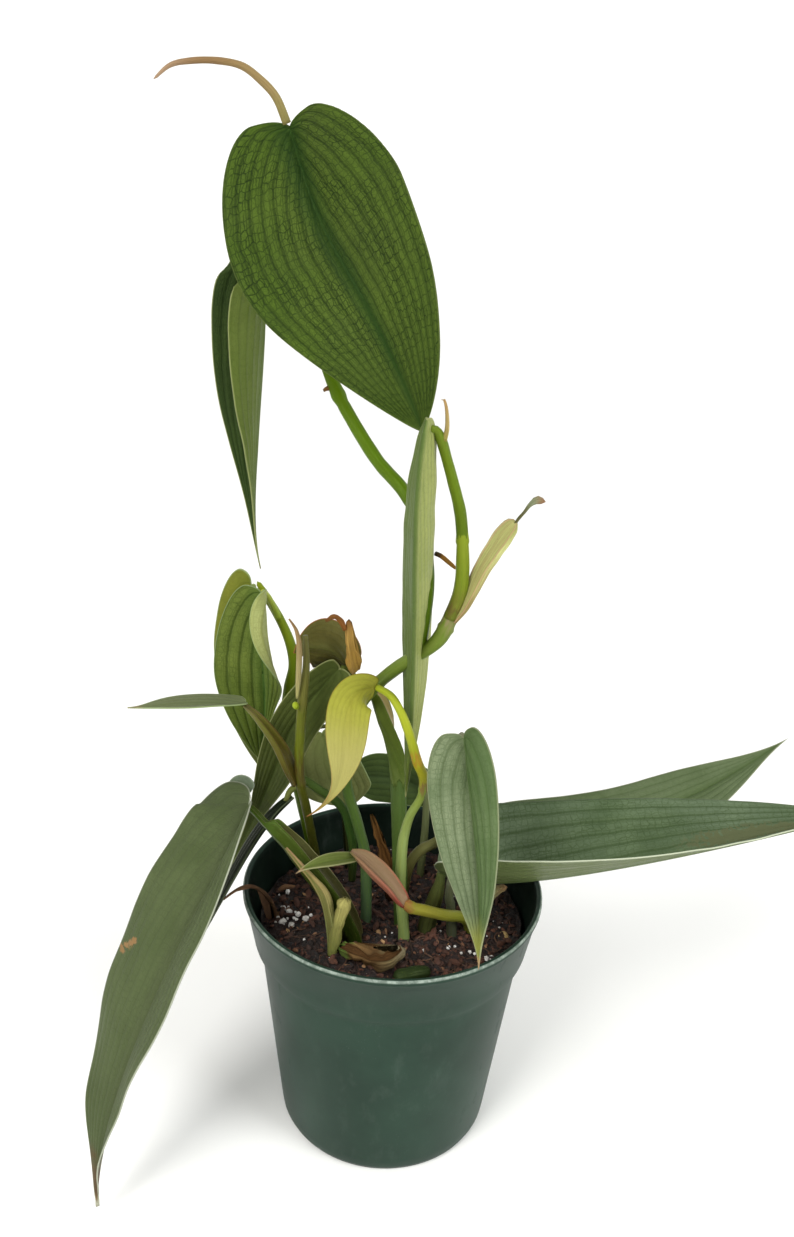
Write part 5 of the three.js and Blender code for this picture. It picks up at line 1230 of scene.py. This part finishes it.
def scatter(form, count, size, squash, spread, rounds, lift=0.0, where=None):
    """Adds loose grains to form, each a few faces, with its own tint and turn, lying on the mix."""
    tint = form.verts.layers.float.get("tint") or form.verts.layers.float.new("tint")
    for _ in range(count):
        while True:
            if where:
                px, py = rand.gauss(where[0], where[2]), rand.gauss(where[1], where[2])
            else:
                angle, radius = rand.uniform(0, 2 * math.pi), spread * math.sqrt(rand.random())
                px, py = radius * math.sin(angle), radius * math.cos(angle)
            if math.hypot(px, py) < spread:
                break
        length = rand.uniform(*size)
        scale = Vector((length, length * rand.uniform(*squash[0]), length * rand.uniform(*squash[1])))
        turn = Matrix.Rotation(rand.uniform(0, 2 * math.pi), 4, "Z") @ Matrix.Rotation(
            rand.gauss(0, 0.35), 4, "X") @ Matrix.Rotation(rand.gauss(0, 0.3), 4, "Y")
        height = soil_height(px, py) + crumbs(px, py) + scale.z * 0.25 + lift
        place = Matrix.Translation(Vector((px, py, height)) * MM) @ turn @ Matrix.Diagonal(
            (*(scale * 0.5 * MM), 1))
        made = bmesh.ops.create_icosphere(form, subdivisions=rounds, radius=1, matrix=place)
        shade = rand.random()
        for point in made["verts"]:
            point[tint] = shade
            point.co += Vector([rand.uniform(-1, 1) for _ in range(3)]) * scale.z * 0.14 * MM
    return form


def make_soil():
    form = grid(220, 120, soil_shape)
    close_and_weld(form)
    make_piece("potting_mix", form, [soil_material()], "potting_mix", "soil")
    bark = scatter(bmesh.new(), 1500, (0.9, 3.6), ((0.35, 0.9), (0.2, 0.6)), 49.0, 1)
    scatter(bark, 150, (3.0, 7.0), ((0.2, 0.5), (0.12, 0.35)), 48.0, 1, 0.3)
    finish = tinted_material("bark_bits", "#120b08", "#5a3524", 0.8)
    make_piece("bark_pieces", bark, [finish], "potting_mix")
    pale = scatter(bmesh.new(), 150, (0.8, 3.2), ((0.3, 0.8), (0.2, 0.5)), 48.5, 1, 0.2)
    finish = tinted_material("pale_bark", "#6a4530", "#b08a5e", 0.8)
    make_piece("pale_bark_pieces", pale, [finish], "bark")
    stones = bmesh.new()
    for px, py in LARGE_STONES:
        scatter(stones, 1, (2.1, 2.9), ((0.85, 1), (0.8, 0.95)), 49.0, 2, 0.9, (px, py, 0.1))
    scatter(stones, 8, (1.0, 1.7), SMALL_STONE, 46.0, 2, 0.6, (-38, -7, 4.5))
    scatter(stones, 8, (0.8, 1.9), SMALL_STONE, 46.0, 2, 0.6, (31, -22, 4.0))
    scatter(stones, 60, (0.4, 1.2), SMALL_STONE, 48.5, 2, 0.2)
    finish = tinted_material("perlite_white", "#c9c5be", "#f2f0eb", 0.7, 0.3)
    make_piece("perlite", stones, [finish], "potting_mix")
    make_fibres()


def fibre_path():
    """Points of one fibre that wanders over the mix, fewer where it meets the wall, and its thickness."""
    angle, radius = rand.uniform(0, 2 * math.pi), FIBRE_FIELD * math.sqrt(rand.random())
    spot = Vector((radius * math.sin(angle), radius * math.cos(angle), 0))
    heading = rand.uniform(0, 2 * math.pi)
    length, thick, shade = rand.uniform(3, 12), rand.uniform(0.1, 0.3), rand.random()
    places = []
    for k in range(FIBRE_POINTS):
        if math.hypot(spot.x, spot.y) > 49:
            break
        arch = 0.7 * math.sin(k / (FIBRE_POINTS - 1) * math.pi)
        spot.z = soil_height(spot.x, spot.y) + crumbs(spot.x, spot.y) + thick + arch
        places.append(spot.copy())
        heading += rand.gauss(0, 0.45)
        spot = spot + Vector((math.cos(heading), math.sin(heading), 0)) * length / (FIBRE_POINTS - 1)
    return places, thick, shade


def make_fibres():
    form = bmesh.new()
    tint = form.verts.layers.float.new("tint")
    for _ in range(260):
        places, thick, shade = fibre_path()
        if len(places) < 4:
            continue
        rings = []
        for k, place in enumerate(places):
            ahead = places[min(k + 1, len(places) - 1)] - places[max(k - 1, 0)]
            side = ahead.cross(Vector((0, 0, 1))).normalized() * thick
            lift = side.cross(ahead).normalized() * thick
            ring = [form.verts.new((place + offset) * MM) for offset in (side, lift, -side, -lift)]
            for point in ring:
                point[tint] = shade
            rings.append([form.edges.new((ring[j], ring[(j + 1) % 4])) for j in range(4)])
        for first, second in zip(rings, rings[1:]):
            bmesh.ops.bridge_loops(form, edges=first + second)
        for ring in (rings[0], rings[-1]):
            bmesh.ops.edgeloop_fill(form, edges=ring)
    bmesh.ops.recalc_face_normals(form, faces=form.faces)
    make_piece("mix_fibres", form, [tinted_material("fibre_bits", "#1e130d", "#5a3c28", 0.8)],
               "potting_mix")


# Stage
FLAT_FLOOR = 1300
FLOOR_CURVE = 900


def make_stage():
    """A flat paper floor that curves up into a round dish far from the pot."""
    profile = [(0, 0), (400, 0), (900, 0), (FLAT_FLOOR, 0)]
    angles = [math.radians(k * 7.5) for k in range(1, 13)]
    profile += [(FLAT_FLOOR + FLOOR_CURVE * math.sin(a), FLOOR_CURVE * (1 - math.cos(a))) for a in angles]
    form = spin_profile(profile, 96)
    mesh = bpy.data.meshes.new("paper_floor")
    form.to_mesh(mesh)
    form.free()
    made, tree = new_material("white_paper")
    tone = patches(tree, 0.3, 0.7, object_place(tree), 3.0, 2.0)
    finish_material(tree, mix(tree, tone, rgb("#f6f6f3"), rgb("#f9f9f7")), 0.9, Specular_IOR_Level=0.2)
    mesh.materials.append(made)
    new_object("paper_floor", mesh)


def add_light(name, place, target, size, power, colour):
    lamp = bpy.data.lights.new(name, "AREA")
    lamp.shape = "DISK"
    lamp.size, lamp.energy, lamp.color = size, power, colour
    made = new_object(name, lamp)
    made.location = place
    made.rotation_euler = (Vector(target) - Vector(place)).to_track_quat("-Z", "Y").to_euler()


def make_lights():
    scene = bpy.context.scene
    scene.view_settings.view_transform = "Standard"
    sky = bpy.data.worlds.new("soft_room")
    sky.use_nodes = True
    shade = sky.node_tree.nodes["Background"]
    shade.inputs["Color"].default_value = (1.0, 1.0, 1.0, 1)
    shade.inputs["Strength"].default_value = 0.62
    scene.world = sky
    add_light("left_window", (-1.3, -1.9, 2.3), (0, 0, 0.15), 1.3, 64, (1.0, 0.99, 0.97))
    add_light("right_window", (1.9, -1.2, 1.9), (0, 0, 0.15), 1.3, 40, (0.98, 0.99, 1.0))


make_camera()
make_stage()
make_lights()
make_pot()
make_soil()
for leaf_name, leaf_data in LEAVES.items():
    make_blade(leaf_name, leaf_data)
for stalk_name, stalk_data in {**STALKS, **REMAINS}.items():
    make_stalk(stalk_name, stalk_data)
